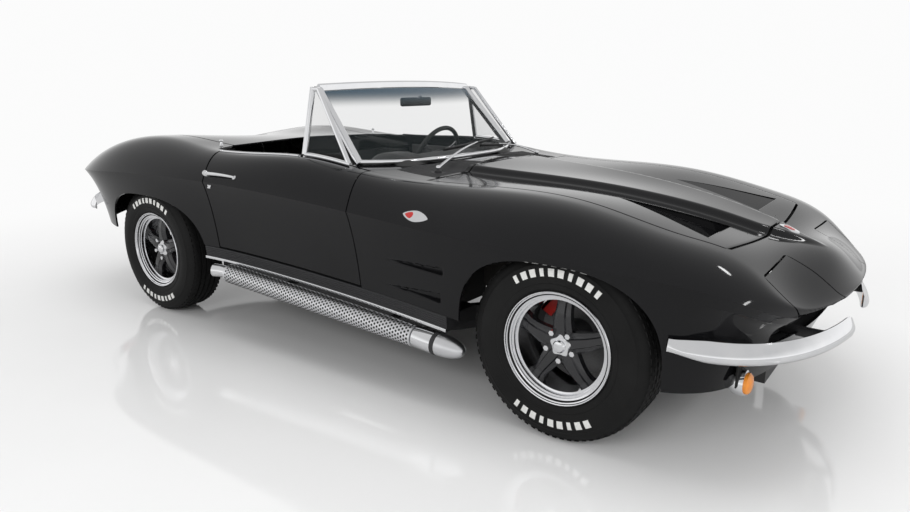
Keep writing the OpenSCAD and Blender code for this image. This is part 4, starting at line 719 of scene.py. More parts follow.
def hood_panel():
    t, k = np.linspace(0, 1, 116), np.concatenate([-np.linspace(1, 0, 70), np.linspace(0, 1, 70)[1:]])
    x = mix(HOOD_REAR + SHUT / 2, hood_cut(k * JOINT_SHARE)[None], t[:, None])
    obj = panel("hood_skin", x, k[None] * hood_share(x), LID_T, "hood", [])
    pan = Piece("hood_recesses")
    u, v = np.meshgrid(np.linspace(0.0005, 1, 40), np.linspace(0, 1, 24), indexing="ij")
    for s in (1, -1):
        tip, a, b = (np.array((c, s * y)) for c, y in RECESS)
        prism = np.array([(*p, z) for z in (0.5, 1.2) for p in (tip, a, b)])
        cut_away(obj, prism, [(0, 1, 2), (5, 4, 3), (0, 3, 4, 1), (1, 4, 5, 2), (2, 5, 3, 0)])
        flat = tip + u[..., None] * (mix(a, b, v[..., None]) - tip)
        top = on_top(flat[..., 0], flat[..., 1])
        floor = top - (RECESS_DEEP * u * v + RECESS_LIP * u)[..., None] * np.array((0, 0, 1))
        pan.slab("body_paint", floor, floor - (0, 0, PAN_T))
        middle = (tip + a + b) / 3
        for high, low in ((top[:, 0], floor[:, 0]), (top[:, -1], floor[:, -1]), (top[-1], floor[-1])):
            along = high[-1] - high[0]
            out = np.array((along[1], -along[0], 0)) / np.linalg.norm(along[:2])
            out *= np.sign(out[:2] @ ((high[0] + high[-1])[:2] / 2 - middle))
            face = np.stack([high, low - (0, 0, PAN_T)], 1)
            pan.slab("body_paint", face, face + PAN_T * out)
    pan.make("hood", [], "body_paint", angle=30)
    obj.data.set_sharp_from_angle(angle=math.radians(35))


# The back of the mouth, a dark block of painted shade, as two corners, and the rear edge of the black tray under it,
# which keeps the mouth's floor in painted shade
MOUTH_BACK, TRAY_X = ((1.955, -0.66, 0.30), (1.960, 0.66, 0.60)), 1.958


def nose():
    """Nose skin with the pods cut out, valance, the hollows under its lip and the dark mouth."""
    w = np.concatenate([np.linspace(0, JOINT_SHARE, 60), np.linspace(JOINT_SHARE, 0.985, 24)[1:],
                        np.linspace(0.985, 1, 6)[1:], np.linspace(1, 1.12, 8)[1:]])
    w = np.concatenate([-w[::-1], w[1:]])
    start = np.where(np.abs(w) < JOINT_SHARE, hood_cut(w) + LID_GAP, JOINT_X - 0.002)
    x = mix(start[None], NOSE_END, (1 - (1 - np.linspace(0, 1, 90)) ** 2)[:, None])
    obj = panel("nose_skin", x, np.broadcast_to(w, x.shape), SKIN_T, "body", [])
    obj.modifiers.clear()
    for s in (1, -1):
        lo, hi = (POD_REAR - SHUT, s * (POD_IN - SHUT), 0.2), (NOSE_X + 0.1, s * (POD_OUT + SHUT), 1.0)
        cut_away(obj, *brick(lo, hi, 0.02, 3))
    obj.data.set_sharp_from_angle(angle=math.radians(40))
    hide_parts("nose_panel")
    low = Piece("front_valance")
    half = mix(JOINT_X - 0.002, NOSE_END, 1 - (1 - np.linspace(0, 1, 64)) ** 2)
    x, s = np.concatenate([half, half[::-1]]), np.repeat([1, -1], 64)
    xs, ws = np.broadcast_arrays(x[:, None], s[:, None] * np.linspace(1.44, 2.0, 26)[None])
    low.slab("body_paint", skin(xs, ws), skin(xs, ws) + SKIN_T * depth(xs, ws))
    edge = skin(x, s * 1.47)
    # Hollow under the lip on each flank, up to the corners of the mouth
    share = np.linspace(1.112, 1.452, 30)
    hollow = 0.014 * np.sin(np.pi * (share - 1.10) / 0.36)
    run = np.linspace(JOINT_X - 0.002, 2.095, 60)
    deep = hollow[None] * smooth((run - JOINT_X) / 0.16)[:, None] + 0.0008
    for s in (1, -1):
        xs, ws = np.broadcast_arrays(run[:, None], s * share[None])
        outer = skin(xs, ws) + deep[..., None] * inward(xs) * (1, s, 1)
        low.slab("body_paint", outer, outer + 0.004 * inward(xs) * (1, s, 1))
    # Dark block of painted shade at the back of the mouth
    low.block("dark_void", *MOUTH_BACK, 0.001)
    # Black tray closing the mouth's floor, so that the mouth shows painted shade rather than the floor
    edge = edge[np.abs(edge[:, 1]) < 0.64] - (0.004, 0, 0)
    tray = np.stack([edge, np.stack([np.full(len(edge), TRAY_X), edge[:, 1], edge[:, 2] - 0.02], -1)], 1)
    low.slab("satin_black", tray, tray - (0, 0, 0.004))
    low.make("body", [], "body_paint", angle=40)


# Headlamps: places across the car, lens and bezel, and how far they look down from upright when shut
LAMP_YS, LAMP_TILT = (0.336, 0.468), math.radians(15)
LENS = ((0, 0.036), (0.028, 0.035), (0.044, 0.029), (0.047, 0.022), (0.047, 0.0), (0, 0.0))
BEZEL = ((0.045, 0.024), (0.048, 0.030), (0.053, 0.027), (0.054, 0.0), (0.045, 0.0))


def pod(side):
    """Turning headlamp pod; its lamps lie behind the axle and look down while it is shut."""
    flip = np.array((1, side, 1))
    xs, ys = np.meshgrid(np.linspace(POD_REAR, NOSE_X - 0.004, 50), np.linspace(POD_IN, POD_OUT, 40), indexing="ij")
    w = np.minimum(0.992, ys / waist_y(xs))
    outer = skin(xs, w)
    piece = Piece(f"lamp_pod_{hand(side)}")
    piece.slab("body_paint", outer * flip, (outer + 0.030 * depth(xs, w)) * flip)
    down = np.array((-math.sin(LAMP_TILT), 0, -math.cos(LAMP_TILT)))
    rise = np.array((-down[2], 0, down[0]))
    mount = np.array([POD_X, 0, POD_Z]) - 0.034 * rise + 0.018 * down
    plate = [mount + (0, POD_IN + 0.006, 0), mount + (0, 0.535, 0)]
    verts, faces = sweep(plate, rounded(0.100, 0.008, 0.003), up=-down)
    piece.add(verts * flip, faces, "satin_black")
    for y in LAMP_YS:
        c = (mount + (0, y, 0)) * flip
        piece.turned("lamp_glass", LENS, c, down, 40).ring("chrome", BEZEL, c, down, 40)
    name = f"headlamp_{hand(side)}"
    piece.make(name, [name], "body_paint", bevel=0.0012, angle=40)


# Wiper pivots across the car, right and left, and the pitch of the cowl vents' holes and the bow of their rear edge
WIPER_X, WIPER_YS = FRONT_X - 0.800, (-0.430, 0.430)
VENT_PITCH, VENT_BOW = 0.0095, 0.150


def cowl_panel():
    """Painted ahead of the screen's foot, grained black behind it, with a pierced vent on each side."""
    k = np.linspace(-1, 1, 121)
    piece = Piece("cowl_skin")
    rear, front = DOOR_FRONT - 0.170, HOOD_REAR - SHUT / 2
    foot = np.maximum(rear + 0.002, DOOR_FRONT + 0.010 - 0.170 * (k / 0.95) ** 2)
    for a, b, n, look in ((rear + 0 * k, foot, 24, "cabin_black"), (foot, front + 0 * k, 30, "body_paint")):
        x = mix(a[None], b[None], np.linspace(0, 1, n)[:, None])
        w = k[None] * np.minimum(hood_share(x) + share_of(x, SHUT - 0.0012), share_of(x, SCREEN_W + 0.034))
        piece.slab(look, skin(x, w), skin(x, w) + SKIN_T * depth(x, w))
    holes, mesh = [], Piece("cowl_vents")
    gx, gy = np.meshgrid(np.arange(0.45, 0.642, VENT_PITCH), np.arange(0.140, 0.521, VENT_PITCH), indexing="ij")
    gy = gy + VENT_PITCH / 2 * (np.arange(len(gx)) % 2)[:, None]
    for s in (1, -1):
        y = s * np.linspace(0.13, 0.53, 30)
        start = DOOR_FRONT + 0.050 - VENT_BOW * (y / SCREEN_W) ** 2
        x = mix(np.maximum(start, 0.44)[None], 0.648, np.linspace(0, 1, 12)[:, None])
        top = on_top(x, np.broadcast_to(y, x.shape), 0.0008)
        mesh.slab("satin_black", top, top - (0, 0, 0.003))
        keep = gx > DOOR_FRONT + 0.058 - VENT_BOW * (gy / SCREEN_W) ** 2
        if s < 0:
            keep &= np.hypot(gx - WIPER_X, gy + WIPER_YS[0]) > 0.03
        holes.append(on_top(gx[keep], s * gy[keep], 0.0009))
    piece.make("body", ["cowl"], "body_paint", angle=40)
    mesh.make("body", [], "tub_black")
    # The vent's holes are dark discs of painted shade, not openings
    holes = np.concatenate(holes)
    studs("vent_holes", holes, [(0, 0, 1)] * len(holes), 0.0030, 0.0008, 6, "dark_void", "body")


def door_panel(side):
    t = np.linspace(0, 1, 80)[:, None]
    w = rows(CROWN, 1 + FOOT - 0.02, 26, 50)
    x = mix((rear_cut(w) + SHUT / 2 + lean(w, 0.009))[None], (front_cut(w) - SHUT / 2)[None], t)
    ws = np.broadcast_to(w, x.shape)
    outer = skin(x, ws)
    inner = outer.copy()
    inner[..., 1] = CABIN_W + 0.004
    inner[..., 0] += t * np.where(ws < 1, front_cut(CROWN) - front_cut(ws), 0) + (1 - t) * 0.024
    name = hand(side)
    piece = Piece(f"door_skin_{name}", side).slab("body_paint", outer, inner)
    piece.make(f"door_{name}", [f"door_{name}"], "body_paint", bevel=setting("rolled_edge"), angle=40)


def quarter_panel(side):
    turn = np.linspace(0, np.pi, 81)
    far = ARCH_L + REAR_REACH
    reach = np.where(turn > np.pi / 2, far, ARCH_L)
    x = np.concatenate([np.linspace(TAIL_JOINT + 0.0012, REAR_X - ARCH_L - 0.004, 38), REAR_X - reach * np.cos(turn),
                        np.linspace(REAR_X + far + 0.003, DOOR_REAR - SHUT / 2, 20)])
    u = clamp((x - REAR_X - far) / (DOOR_REAR - REAR_X - far))
    low = np.where(x > REAR_X, FOOT, REAR_FOOT)
    away = (x - REAR_X) * np.where(x > REAR_X, ARCH_L / far, 1.0)
    foot = np.where(np.abs(away) <= ARCH_L, np.minimum(low, skirt_share(x, arch_z(REAR_X + away, REAR_X))), low)
    edge = mix(DECK + share_of(x, 0.0024), share_of(x, CABIN_W), smooth((x - COCKPIT_X) / 0.06))
    w = rows(edge, 1 + foot, 32, 36)
    xs = x[:, None] + u[:, None] * (rear_cut(w) - DOOR_REAR)
    panel(f"rear_wing_{hand(side)}", xs, side * w, SKIN_T, "body", ["quarters"])


def tail():
    half = np.concatenate([np.linspace(0, 1, 42), np.linspace(1, 1 + REAR_FOOT, 28)[1:]])
    w = np.concatenate([-half[::-1], half[1:]])
    x = mix(TAIL_JOINT, TAIL_END, 1 - (1 - np.linspace(0, 1, 48)) ** 2)
    x, w = np.broadcast_arrays(x[:, None], w)
    panel("tail_skin", x, w, SKIN_T, "body", ["tail_panel"])
    # Middle of the tail, between the two flanks
    low = np.linspace(0.999, 1 + REAR_FOOT, 36)
    middle = np.stack([skin(np.full_like(low, TAIL_END), s * low) for s in (1, -1)]) + (0.0002, 0, 0)
    Piece("tail_middle").slab("body_paint", middle, middle + (0.004, 0, 0)).make("body", [], "body_paint")
    x, w = np.broadcast_arrays(np.linspace(TAIL_JOINT, LID_REAR - LID_GAP, 50)[:, None], np.linspace(-1, 1, 81) * DECK)
    panel("rear_deck", x, w, SKIN_T, "body", [])


def deck_lid_panel():
    x = np.linspace(LID_REAR, COCKPIT_X, 40)
    w = np.linspace(-1, 1, 81)[None] * (DECK - share_of(x, SHUT))[:, None]
    panel("top_lid_skin", np.broadcast_to(x[:, None], w.shape), w, LID_T, "deck_lid", [])


def gap_shades():
    """Dark strips under the shut lines of hood and lid, so that the floor doesn't show through them."""
    piece = Piece("shut_line_seals")

    def strip(points):
        piece.bar("dark_void", points - (0, 0, 0.024), rounded(0.034, 0.004, 0.001))

    sides = np.linspace(HOOD_REAR + 0.01, JOINT_X - 0.01, 60)
    lid = np.linspace(LID_REAR, COCKPIT_X - 0.01, 40)
    for s in (1, -1):
        strip(skin(sides, s * (hood_share(sides) + share_of(sides, SHUT / 2))))
        strip(skin(lid, s * (DECK - share_of(lid, SHUT / 2))))
        # The arms of the hinges pass between these lengths
        for a, b in ((0.0, 0.18), (0.262, 0.50)):
            w = s * share_of(np.full(20, JOINT_X), np.linspace(a, b, 20))
            strip(skin(hood_cut(w) + LID_GAP / 2, w))
        for a, b in ((0.0, 0.39), (0.47, 0.52)):
            x = np.full(20, LID_REAR - LID_GAP / 2)
            strip(skin(x, s * share_of(x, np.linspace(a, b, 20))))
    x = np.full(60, HOOD_REAR)
    strip(skin(x, np.linspace(-1, 1, 60) * hood_share(x)))
    piece.make("body", [], "tub_black")


# The well under the lid: its rear, front, half width, floor and lining
WELL_REAR, WELL_FRONT, WELL_W, WELL_Z, LINING = -1.475, -0.800, 0.56, 0.600, 0.006


def top_well():
    """Lined well under the lid, with the folded top in it."""
    piece = Piece("top_well")
    corner = (WELL_REAR, -WELL_W, WELL_Z)
    for lo, hi in ((corner, (WELL_FRONT, WELL_W, WELL_Z + LINING)), (corner, (WELL_REAR + LINING, WELL_W, 0.750)),
                   (corner, (WELL_FRONT, -WELL_W + LINING, 0.760)),
                   ((WELL_REAR, WELL_W - LINING, WELL_Z), (WELL_FRONT, WELL_W, 0.760))):
        piece.block("carpet", lo, hi, 0.002)
    for k in range(4):
        piece.block("carpet", (-1.20 + 0.015 * k, -0.50 + 0.01 * k, 0.606 + 0.030 * k),
                    (-0.84 - 0.01 * k, 0.50 - 0.01 * k, 0.640 + 0.030 * k), 0.015, 4)
    piece.make("body", [], "tub_black")


# Geometry Nodes: one small shape on every point, facing its own way
def studs_tree():
    tree = bpy.data.node_groups.new("studs_on_points", "GeometryNodeTree")
    face = tree.interface
    face.new_socket("Geometry", in_out="INPUT", socket_type="NodeSocketGeometry")
    for name, kind, value in (("Radius", "Float", 0.003), ("Height", "Float", 0.002), ("Sides", "Int", 6)):
        face.new_socket(name, in_out="INPUT", socket_type=f"NodeSocket{kind}").default_value = value
    face.new_socket("Finish", in_out="INPUT", socket_type="NodeSocketMaterial")
    face.new_socket("Geometry", in_out="OUTPUT", socket_type="NodeSocketGeometry")
    start, end, shape, facing, turn, put, real, paint = (tree.nodes.new(kind) for kind in (
        "NodeGroupInput", "NodeGroupOutput", "GeometryNodeMeshCylinder", "GeometryNodeInputNamedAttribute",
        "FunctionNodeAlignRotationToVector", "GeometryNodeInstanceOnPoints", "GeometryNodeRealizeInstances",
        "GeometryNodeSetMaterial"))
    facing.data_type = "FLOAT_VECTOR"
    facing.inputs["Name"].default_value = "facing"
    turn.axis = "Z"
    for a, out, b, into in (
            (start, "Radius", shape, "Radius"), (start, "Height", shape, "Depth"), (start, "Sides", shape, "Vertices"),
            (facing, "Attribute", turn, "Vector"), (start, "Geometry", put, "Points"), (shape, "Mesh", put, "Instance"),
            (turn, "Rotation", put, "Rotation"), (put, "Instances", real, 0), (real, 0, paint, "Geometry"),
            (start, "Finish", paint, "Material"), (paint, "Geometry", end, 0)):
        tree.links.new(a.outputs[out], b.inputs[into])
    return tree


def studs(name, points, facing, radius, height, sides, look, body):
    """A piece of like studs, discs or nuts, one on each point."""
    tree = bpy.data.node_groups.get("studs_on_points") or studs_tree()
    mesh = bpy.data.meshes.new(name)
    mesh.from_pydata(np.asarray(points).reshape(-1, 3).tolist(), [], [])
    way = mesh.attributes.new("facing", "FLOAT_VECTOR", "POINT")
    way.data.foreach_set("vector", np.asarray(facing, float).ravel())
    obj = new_object(name, mesh)
    mod = obj.modifiers.new("studs", "NODES")
    mod.node_group = tree
    ids = {s.name: s.identifier for s in tree.interface.items_tree if s.in_out == "INPUT"}
    for key, value in (("Radius", radius), ("Height", height), ("Sides", sides), ("Finish", finish(look))):
        mod[ids[key]] = value
    bake(obj)
    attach(obj, body)


# Road wheels: profiles as (radius, outward) from the wheel's middle
WHEELS = [(a, b, x, s) for a, x in (("front", FRONT_X), ("rear", REAR_X)) for b, s in (("left", 1), ("right", -1))]
RIM = ((0.1815, -0.100), (0.208, -0.100), (0.208, -0.091), (0.1905, -0.090), (0.1905, 0.086), (0.199, 0.091),
       (0.208, 0.0925), (0.2085, 0.0985), (0.206, 0.1015), (0.2025, 0.1005), (0.2005, 0.096), (0.1965, 0.0945),
       (0.1955, 0.090), (0.1925, 0.0885), (0.1855, 0.0860), (0.1845, 0.080), (0.178, 0.0785), (0.1765, 0.066),
       (0.169, 0.064), (0.1675, 0.040), (0.1655, 0.000), (0.174, -0.01), (0.1815, -0.02))
SPOKE = ((-0.5, -0.5), (-0.5, 0.12), (-0.36, 0.30), (-0.26, 0.34), (-0.20, 0.5), (0.20, 0.5), (0.26, 0.34),
         (0.36, 0.30), (0.5, 0.12), (0.5, -0.5))
HUB_PAD = ((0, 0.0), (0.064, 0.0), (0.066, 0.040), (0.060, 0.052), (0.045, 0.055), (0, 0.055))
HUB_CAP = ((0, 0.079), (0.010, 0.0785), (0.019, 0.0755), (0.0235, 0.070), (0.0245, 0.062), (0.0245, 0.055), (0, 0.055))
DISC = ((0.060, -0.106), (0.148, -0.106), (0.148, -0.084), (0.060, -0.084))
BARREL = ((0.024, -0.106), (0.062, -0.106), (0.064, 0.002), (0.024, 0.002))
LUG_CIRCLE = 0.0535
TYRE_HALF = ((0.347, 0.000), (0.347, 0.012), (0.3395, 0.0135), (0.3395, 0.0185), (0.347, 0.020), (0.3467, 0.041),
             (0.3392, 0.0425), (0.3392, 0.0475), (0.3462, 0.049), (0.3450, 0.070), (0.3425, 0.079), (0.337, 0.0865),
             (0.328, 0.0945), (0.317, 0.1005), (0.305, 0.1055), (0.3035, 0.1072), (0.2955, 0.1085), (0.282, 0.1105),
             (0.266, 0.1108), (0.251, 0.1085), (0.2365, 0.1045), (0.2345, 0.1058), (0.2270, 0.1045), (0.2180, 0.1015),
             (0.2125, 0.0975), (0.2095, 0.093), (0.1912, 0.090))
# Rows of tread blocks: outward place, radius, width, offset as a share of a block
TREAD_ROWS = ((0.0585, 0.3459, 0.019, 0), (-0.0585, 0.3459, 0.019, 0.5), (0.0305, 0.3468, 0.018, 0.25),
              (-0.0305, 0.3468, 0.018, 0.75), (0.0, 0.3470, 0.020, 0.5), (0.0815, 0.3405, 0.012, 0.1),
              (-0.0815, 0.3405, 0.012, 0.6))
TREAD_BLOCKS = 72
BLOCK_FACES = ((0, 1, 2, 3), (7, 6, 5, 4), (0, 4, 5, 1), (1, 5, 6, 2), (2, 6, 7, 3), (3, 7, 4, 0))
# Arcs of plain marks on the wall: middle angle and count; their pitch and radii
MARK_ARCS, MARK_PITCH, MARK_RADII = ((90, 10), (270, 9)), 7.6, (0.262, 0.290)


def road_wheel(a, b, x, s):
    piece, body = Piece(f"mag_wheel_{a}_{b}"), f"road_wheel_{a}_{b}"
    c, out = np.array((x, s * WHEEL_Y, AXLE_Z)), np.array((0, s, 0))
    piece.ring("polished_alloy", RIM, c, out, 112)
    # Five tapered spokes, dished in towards the hub
    r = np.linspace(0.030, 0.176, 16)
    q = (r - r[0]) / (r[-1] - r[0])
    lift = 0.052 + 0.014 * np.sin(np.pi * clamp(q * 1.02)) - 0.012 * q
    width = mix(0.078, 0.056, smooth(q * 1.2)) + 0.010 * smooth((q - 0.8) / 0.2)
    for k in range(5):
        t = math.radians(90 + 72 * k)
        path = c + np.array((math.cos(t), 0, math.sin(t))) * r[:, None] + out * (lift - 0.016)[:, None]
        piece.bar("spoke_black", path, SPOKE, up=out, scale=np.stack([width, np.full_like(q, 0.040)], -1))
    # Hub pad, star flange and domed cap
    piece.turned("spoke_black", HUB_PAD, c, out, 64)
    n = 120
    t = np.linspace(0, 2 * np.pi, n, endpoint=False)
    star = 0.0335 + 0.0085 * np.abs(np.cos(2.5 * (t - math.pi / 2))) ** 3
    ring = np.stack([np.cos(t), np.zeros_like(t), np.sin(t)], -1)
    flange = np.stack([c + ring * (star * f)[:, None] + out * h
                       for f, h in ((1, 0.055), (1, 0.059), (0.93, 0.0615), (0.62, 0.0630))], 1)
    piece.add(flange, grid_faces(n, 4, True, False).tolist() + [tuple(i * 4 + 3 for i in range(n))], "chrome")
    piece.turned("chrome", HUB_CAP, c, out, 48)
    piece.ring("brake_iron", DISC, c, out, 72).ring("satin_black", BARREL, c, out, 48)
    piece.make(body, [f"wheel_{a}_{b}"], "wheel_metal", angle=32)
    ang = np.radians(90 + 36 + 72 * np.arange(5))
    spots = c + np.stack([np.cos(ang) * LUG_CIRCLE, np.zeros(5), np.sin(ang) * LUG_CIRCLE], -1) + out * 0.060
    studs(f"lug_nuts_{a}_{b}", spots, [out] * 5, 0.0105, 0.022, 6, "chrome", body)


def road_tyre(a, b, x, s):
    """Tyre, tread blocks over its crown, and plain raised marks on its wall in two arcs."""
    body = f"road_wheel_{a}_{b}"
    c, out = np.array((x, s * WHEEL_Y, AXLE_Z)), np.array((0, s, 0))
    wall = TYRE_HALF[::-1]
    section = wall + tuple((r, -h) for r, h in TYRE_HALF[1:])
    piece = Piece(f"road_tyre_{a}_{b}").ring("tyre_rubber", section, c, out, 120)
    piece.make(body, [f"tyre_{a}_{b}"], "tyre_rubber", angle=28)
    tread = Piece(f"tread_{a}_{b}")
    for h, r, w, off in TREAD_ROWS:
        for q in np.arange(TREAD_BLOCKS) * 2 * np.pi / TREAD_BLOCKS + off * 2 * np.pi / TREAD_BLOCKS:
            tread.add([c + (r + lift) * np.array((math.cos(q + dq), 0, math.sin(q + dq))) + out * (h + dh * w / 2)
                       for lift in (-0.002, 0.0014)
                       for dq, dh in ((-0.030, -1), (0.022, -0.8), (0.030, 1), (-0.022, 0.8))],
                      BLOCK_FACES, "tyre_rubber")
    tread.make(body, [], "tyre_rubber", angle=25)
    marks = Piece(f"wall_marks_{a}_{b}")
    for middle, count in MARK_ARCS:
        for k in range(count):
            mid = math.radians(middle + (k - (count - 1) / 2) * MARK_PITCH)
            wide = math.radians(2.4 if k % 3 else 1.6)
            r, q = np.meshgrid(np.linspace(*MARK_RADII, 5), mid + np.linspace(-wide, wide, 7), indexing="ij")
            rise = np.interp(r, [h[0] for h in wall], [h[1] for h in wall]) + 0.0010
            p = c + np.stack([r * np.cos(q), np.zeros_like(r), r * np.sin(q)], -1) + out * rise[..., None]
            marks.slab("tyre_mark", p, p - out * 0.003)
    marks.make(body, [], "tyre_rubber", angle=30)


# Parts of a caliper: inner and outer place across the car, inner and outer radius
CALIPER = ((0.545, 0.596, 0.118, 0.166), (0.634, 0.648, 0.118, 0.166), (0.545, 0.648, 0.156, 0.167))


def brakes():
    """Red calipers, behind the front discs and ahead of the rear ones."""
    for a, b, x, s in WHEELS:
        piece = Piece(f"caliper_{a}_{b}")
        way = 1 if a == "front" else -1
        hub = np.array((x, 0, AXLE_Z))
        for y0, y1, r0, r1 in CALIPER:
            pts = [hub + np.array((math.cos(q) * way, 0, math.sin(q))) * r + np.array((0, s * y, 0))
                   for q in math.pi - math.radians(45) + np.linspace(-0.30, 0.30, 13)
                   for r, y in ((r0, y0), (r1, y0), (r1, y1), (r0, y1))]
            piece.add(pts, tube_faces(13, 4), "caliper_red")
        piece.make(f"knuckle_{b}" if a == "front" else "body", [], "chassis_black")


# Screen, frames and glass
HEADER = ((-0.017, -0.014), (-0.013, -0.017), (0.011, -0.017), (0.0165, -0.013), (0.0155, -0.008), (0.004, 0.0135),
          (-0.002, 0.017), (-0.010, 0.017), (-0.017, 0.011))


def screen_foot(k):
    """Point of the screen's foot, k -1 on the right to 1 on the left."""
    p = on_top(FRONT_X - 0.930 - 0.170 * k * k, SCREEN_W * k)
    p[..., 2] += 0.0085
    return p


def screen_head(k):
    return np.stack([FRONT_X - 1.310 - 0.070 * k * k, HEAD_W * k, HEIGHT - 0.017 - 0.015 * k * k], -1)


def screen_line(k):
    """Foot and head of the screen at one place across it."""
    return screen_foot(np.array([k]))[0], screen_head(np.array([k]))[0]


def screen():
    k = np.linspace(-1, 1, 61)
    piece = Piece("screen_surround")
    head, foot = screen_head(k), screen_foot(k)
    piece.bar("chrome", head, HEADER)
    foot[:, 2] += 0.004
    piece.bar("chrome", foot, rounded(0.030, 0.018, 0.006))
    for e in (-1.0, 1.0):
        a, b = screen_line(e)
        post = a + (b - a) * np.linspace(-0.02, 1, 24)[:, None]
        piece.bar("chrome", post, rounded(0.034, 0.030, 0.010), up=(1, 0, 0))
        piece.bar("cabin_black", post + (-0.018, -0.010 * e, 0), rounded(0.014, 0.012, 0.004), up=(1, 0, 0))
    piece.bar("cabin_black", head + (-0.020, 0, -0.006), rounded(0.020, 0.022, 0.006))
    piece.make("body", ["screen_frame"], "bright_trim")
    h = np.linspace(0, 1, 24)
    q = k * (1 - 0.0176 / 0.60)
    a, b = screen_foot(q), screen_head(q)
    rise = (b - a)[:, 2:]
    t = mix(0.012 / rise, 1 - 0.0173 / rise, h[None])
    bow = 0.012 * np.sin(np.pi * h)[None, :, None] * (1 - q ** 2)[:, None, None]
    pane = a[:, None] + (b - a)[:, None] * t[..., None] + bow * np.array((0.75, 0, 0.65))
    glass = Piece("screen_pane").slab("screen_tint", pane + (0.0025, 0, 0), pane - (0.0025, 0, 0))
    glass.make("body", ["screen_glass"], "clear_glass")


def vent(side):
    """Fixed vent window on a door: two posts, sill, short head and pane."""
    name = hand(side)
    foot = float(skin(VENT_REAR_X, CROWN)[2])

    def at(x, z):
        return np.array((x, VENT_Y - (VENT_Y - VENT_HEAD_Y) / (VENT_HEAD_Z - foot) * (z - foot), z)) * (1, side, 1)

    def sill(x):
        return np.array((x, VENT_Y, float(skin(x, CROWN)[2]) + 0.0099)) * (1, side, 1)

    piece = Piece(f"vent_surround_{name}")
    bar = rounded(0.018, 0.018, 0.005)
    front, apex = sill(VENT_FOOT_X - 0.009), at(VENT_REAR_X + 0.036, VENT_HEAD_Z - 0.009)
    t = np.linspace(0, 1, 12)[:, None]
    post = sill(VENT_REAR_X)
    post = post + (at(VENT_REAR_X, VENT_HEAD_Z) - post) * t
    piece.bar("chrome", post, bar, up=(1, 0, 0))
    piece.bar("chrome", post + (-0.012, 0, 0), rounded(0.016, 0.009, 0.003), up=(1, 0, 0))
    piece.bar("chrome", front + (apex - front) * t, bar, up=(0, 1, 0))
    piece.bar("chrome", [sill(x) for x in np.linspace(VENT_REAR_X, VENT_FOOT_X, 16)], bar)
    piece.bar("chrome", [at(VENT_REAR_X, apex[2]), apex], bar)
    piece.make(f"door_{name}", [f"vent_frame_{name}"], "bright_trim")
    lo = max(sill(x)[2] for x in (VENT_REAR_X, VENT_FOOT_X)) + 0.010
    u = (apex - front)[[0, 2]]
    u = u / np.linalg.norm(u)
    f = np.array((front[0] - u[1] * 0.0096, front[2] + u[0] * 0.0096))
    pane = np.array([[at(mix(VENT_REAR_X + 0.0095, f[0] + (z - f[1]) * u[0] / u[1], q), z)
                      for q in np.linspace(0, 1, 6)] for z in np.linspace(lo, VENT_HEAD_Z - 0.0185, 12)])
    glass = Piece(f"vent_pane_{name}").slab("plain_glass", pane + (0, 0.002, 0), pane - (0, 0.002, 0))
    glass.make(f"door_{name}", [f"vent_glass_{name}"], "clear_glass")


# Bright trim outside
BLADE = ((-0.014, -0.033), (-0.004, -0.0345), (0.006, -0.031), (0.012, -0.024), (0.0150, -0.014), (0.0150, -0.008),
         (0.0120, 0.000), (0.004, 0.013), (-0.005, 0.026), (-0.011, 0.034), (-0.014, 0.034))
BLADE_GAP, ARM_Y = 0.160, 0.345


def blade_path(start, tip, z, rise, tuck):
    """Left blade of a split bumper, from its end on the flank to its tip near the middle."""
    x = start + (tip - start) * (1 - (1 - np.linspace(0, 1, 60)) ** 1.6)
    f = (x - start) / (tip - start)
    p = np.stack([x, waist_y(x), z + rise * (1 - f)], -1)
    return p - inward(x) * mix(-tuck, (REACH_X - abs(tip)) - 0.015, f)[:, None]


def bumpers():
    gap = BLADE_GAP / HALF_W
    front = blade_path(FRONT_X + 0.405, mix(FRONT_X, NOSE_X, (1 - gap ** 2) ** 0.25), 0.425, 0.040, 0.015)
    rear = blade_path(REAR_X - 0.640, mix(REAR_X, TAIL_X, (1 - gap ** 2.2) ** (1 / 3.6)), 0.530, 0.0, 0.030)
    q = np.linspace(0, 1, len(front))
    size = np.stack([0.35 + 0.65 * smooth(q * 12) * smooth((1 - q) * 14) ** 0.5,
                     0.62 + 0.38 * smooth(q * 5) * smooth((1 - q) * 16) ** 0.5], -1)
    for name, path, way, root in (("front", front, 1, 1.965), ("rear", rear, -1, -1.79)):
        piece = Piece(f"{name}_blades").both("chrome", *sweep(path, np.array(BLADE) * (way, 1), scale=size))
        end = path[np.argmin(np.abs(path[:, 1] - ARM_Y))]
        arm = sweep([(root, ARM_Y, end[2]), end - (0.012 * way, 0, 0)], rounded(0.035, 0.030, 0.006))
        piece.both("satin_black", *arm).make("body", [f"{name}_bumpers"], "bright_trim")


# Side exhausts: front and rear end of the left cover's middle line, the cover's radius and the pitch of its holes
PIPE_ENDS = np.array(((FRONT_X - 0.480, 0.828, 0.258), (FRONT_X - 1.800, 0.828, 0.330)))
COVER_R, COVER_PITCH = 0.046, 0.0165
SLEEVE = ((0, 0.124), (0.043, 0.124), (0.0452, 0.120), (0.0455, 0.036), (0.0450, 0.030), (0, 0.030))
CLAMP = ((0, 0.0295), (0.0462, 0.0295), (0.0465, 0.024), (0.0465, 0.016), (0.0455, 0.010), (0, 0.010))
PIPE_BORE = ((0, 0.0), (0.026, 0.0), (0.026, 0.0015), (0, 0.0015))
PIPE_NOSE = ((0, -0.110), *((0.0450 * math.sin(q) ** 0.8 * 0.999 + 0.0001, 0.009 - 0.118 * math.cos(q))
                            for q in np.linspace(0.14, math.pi / 2, 12)), (0, 0.009))


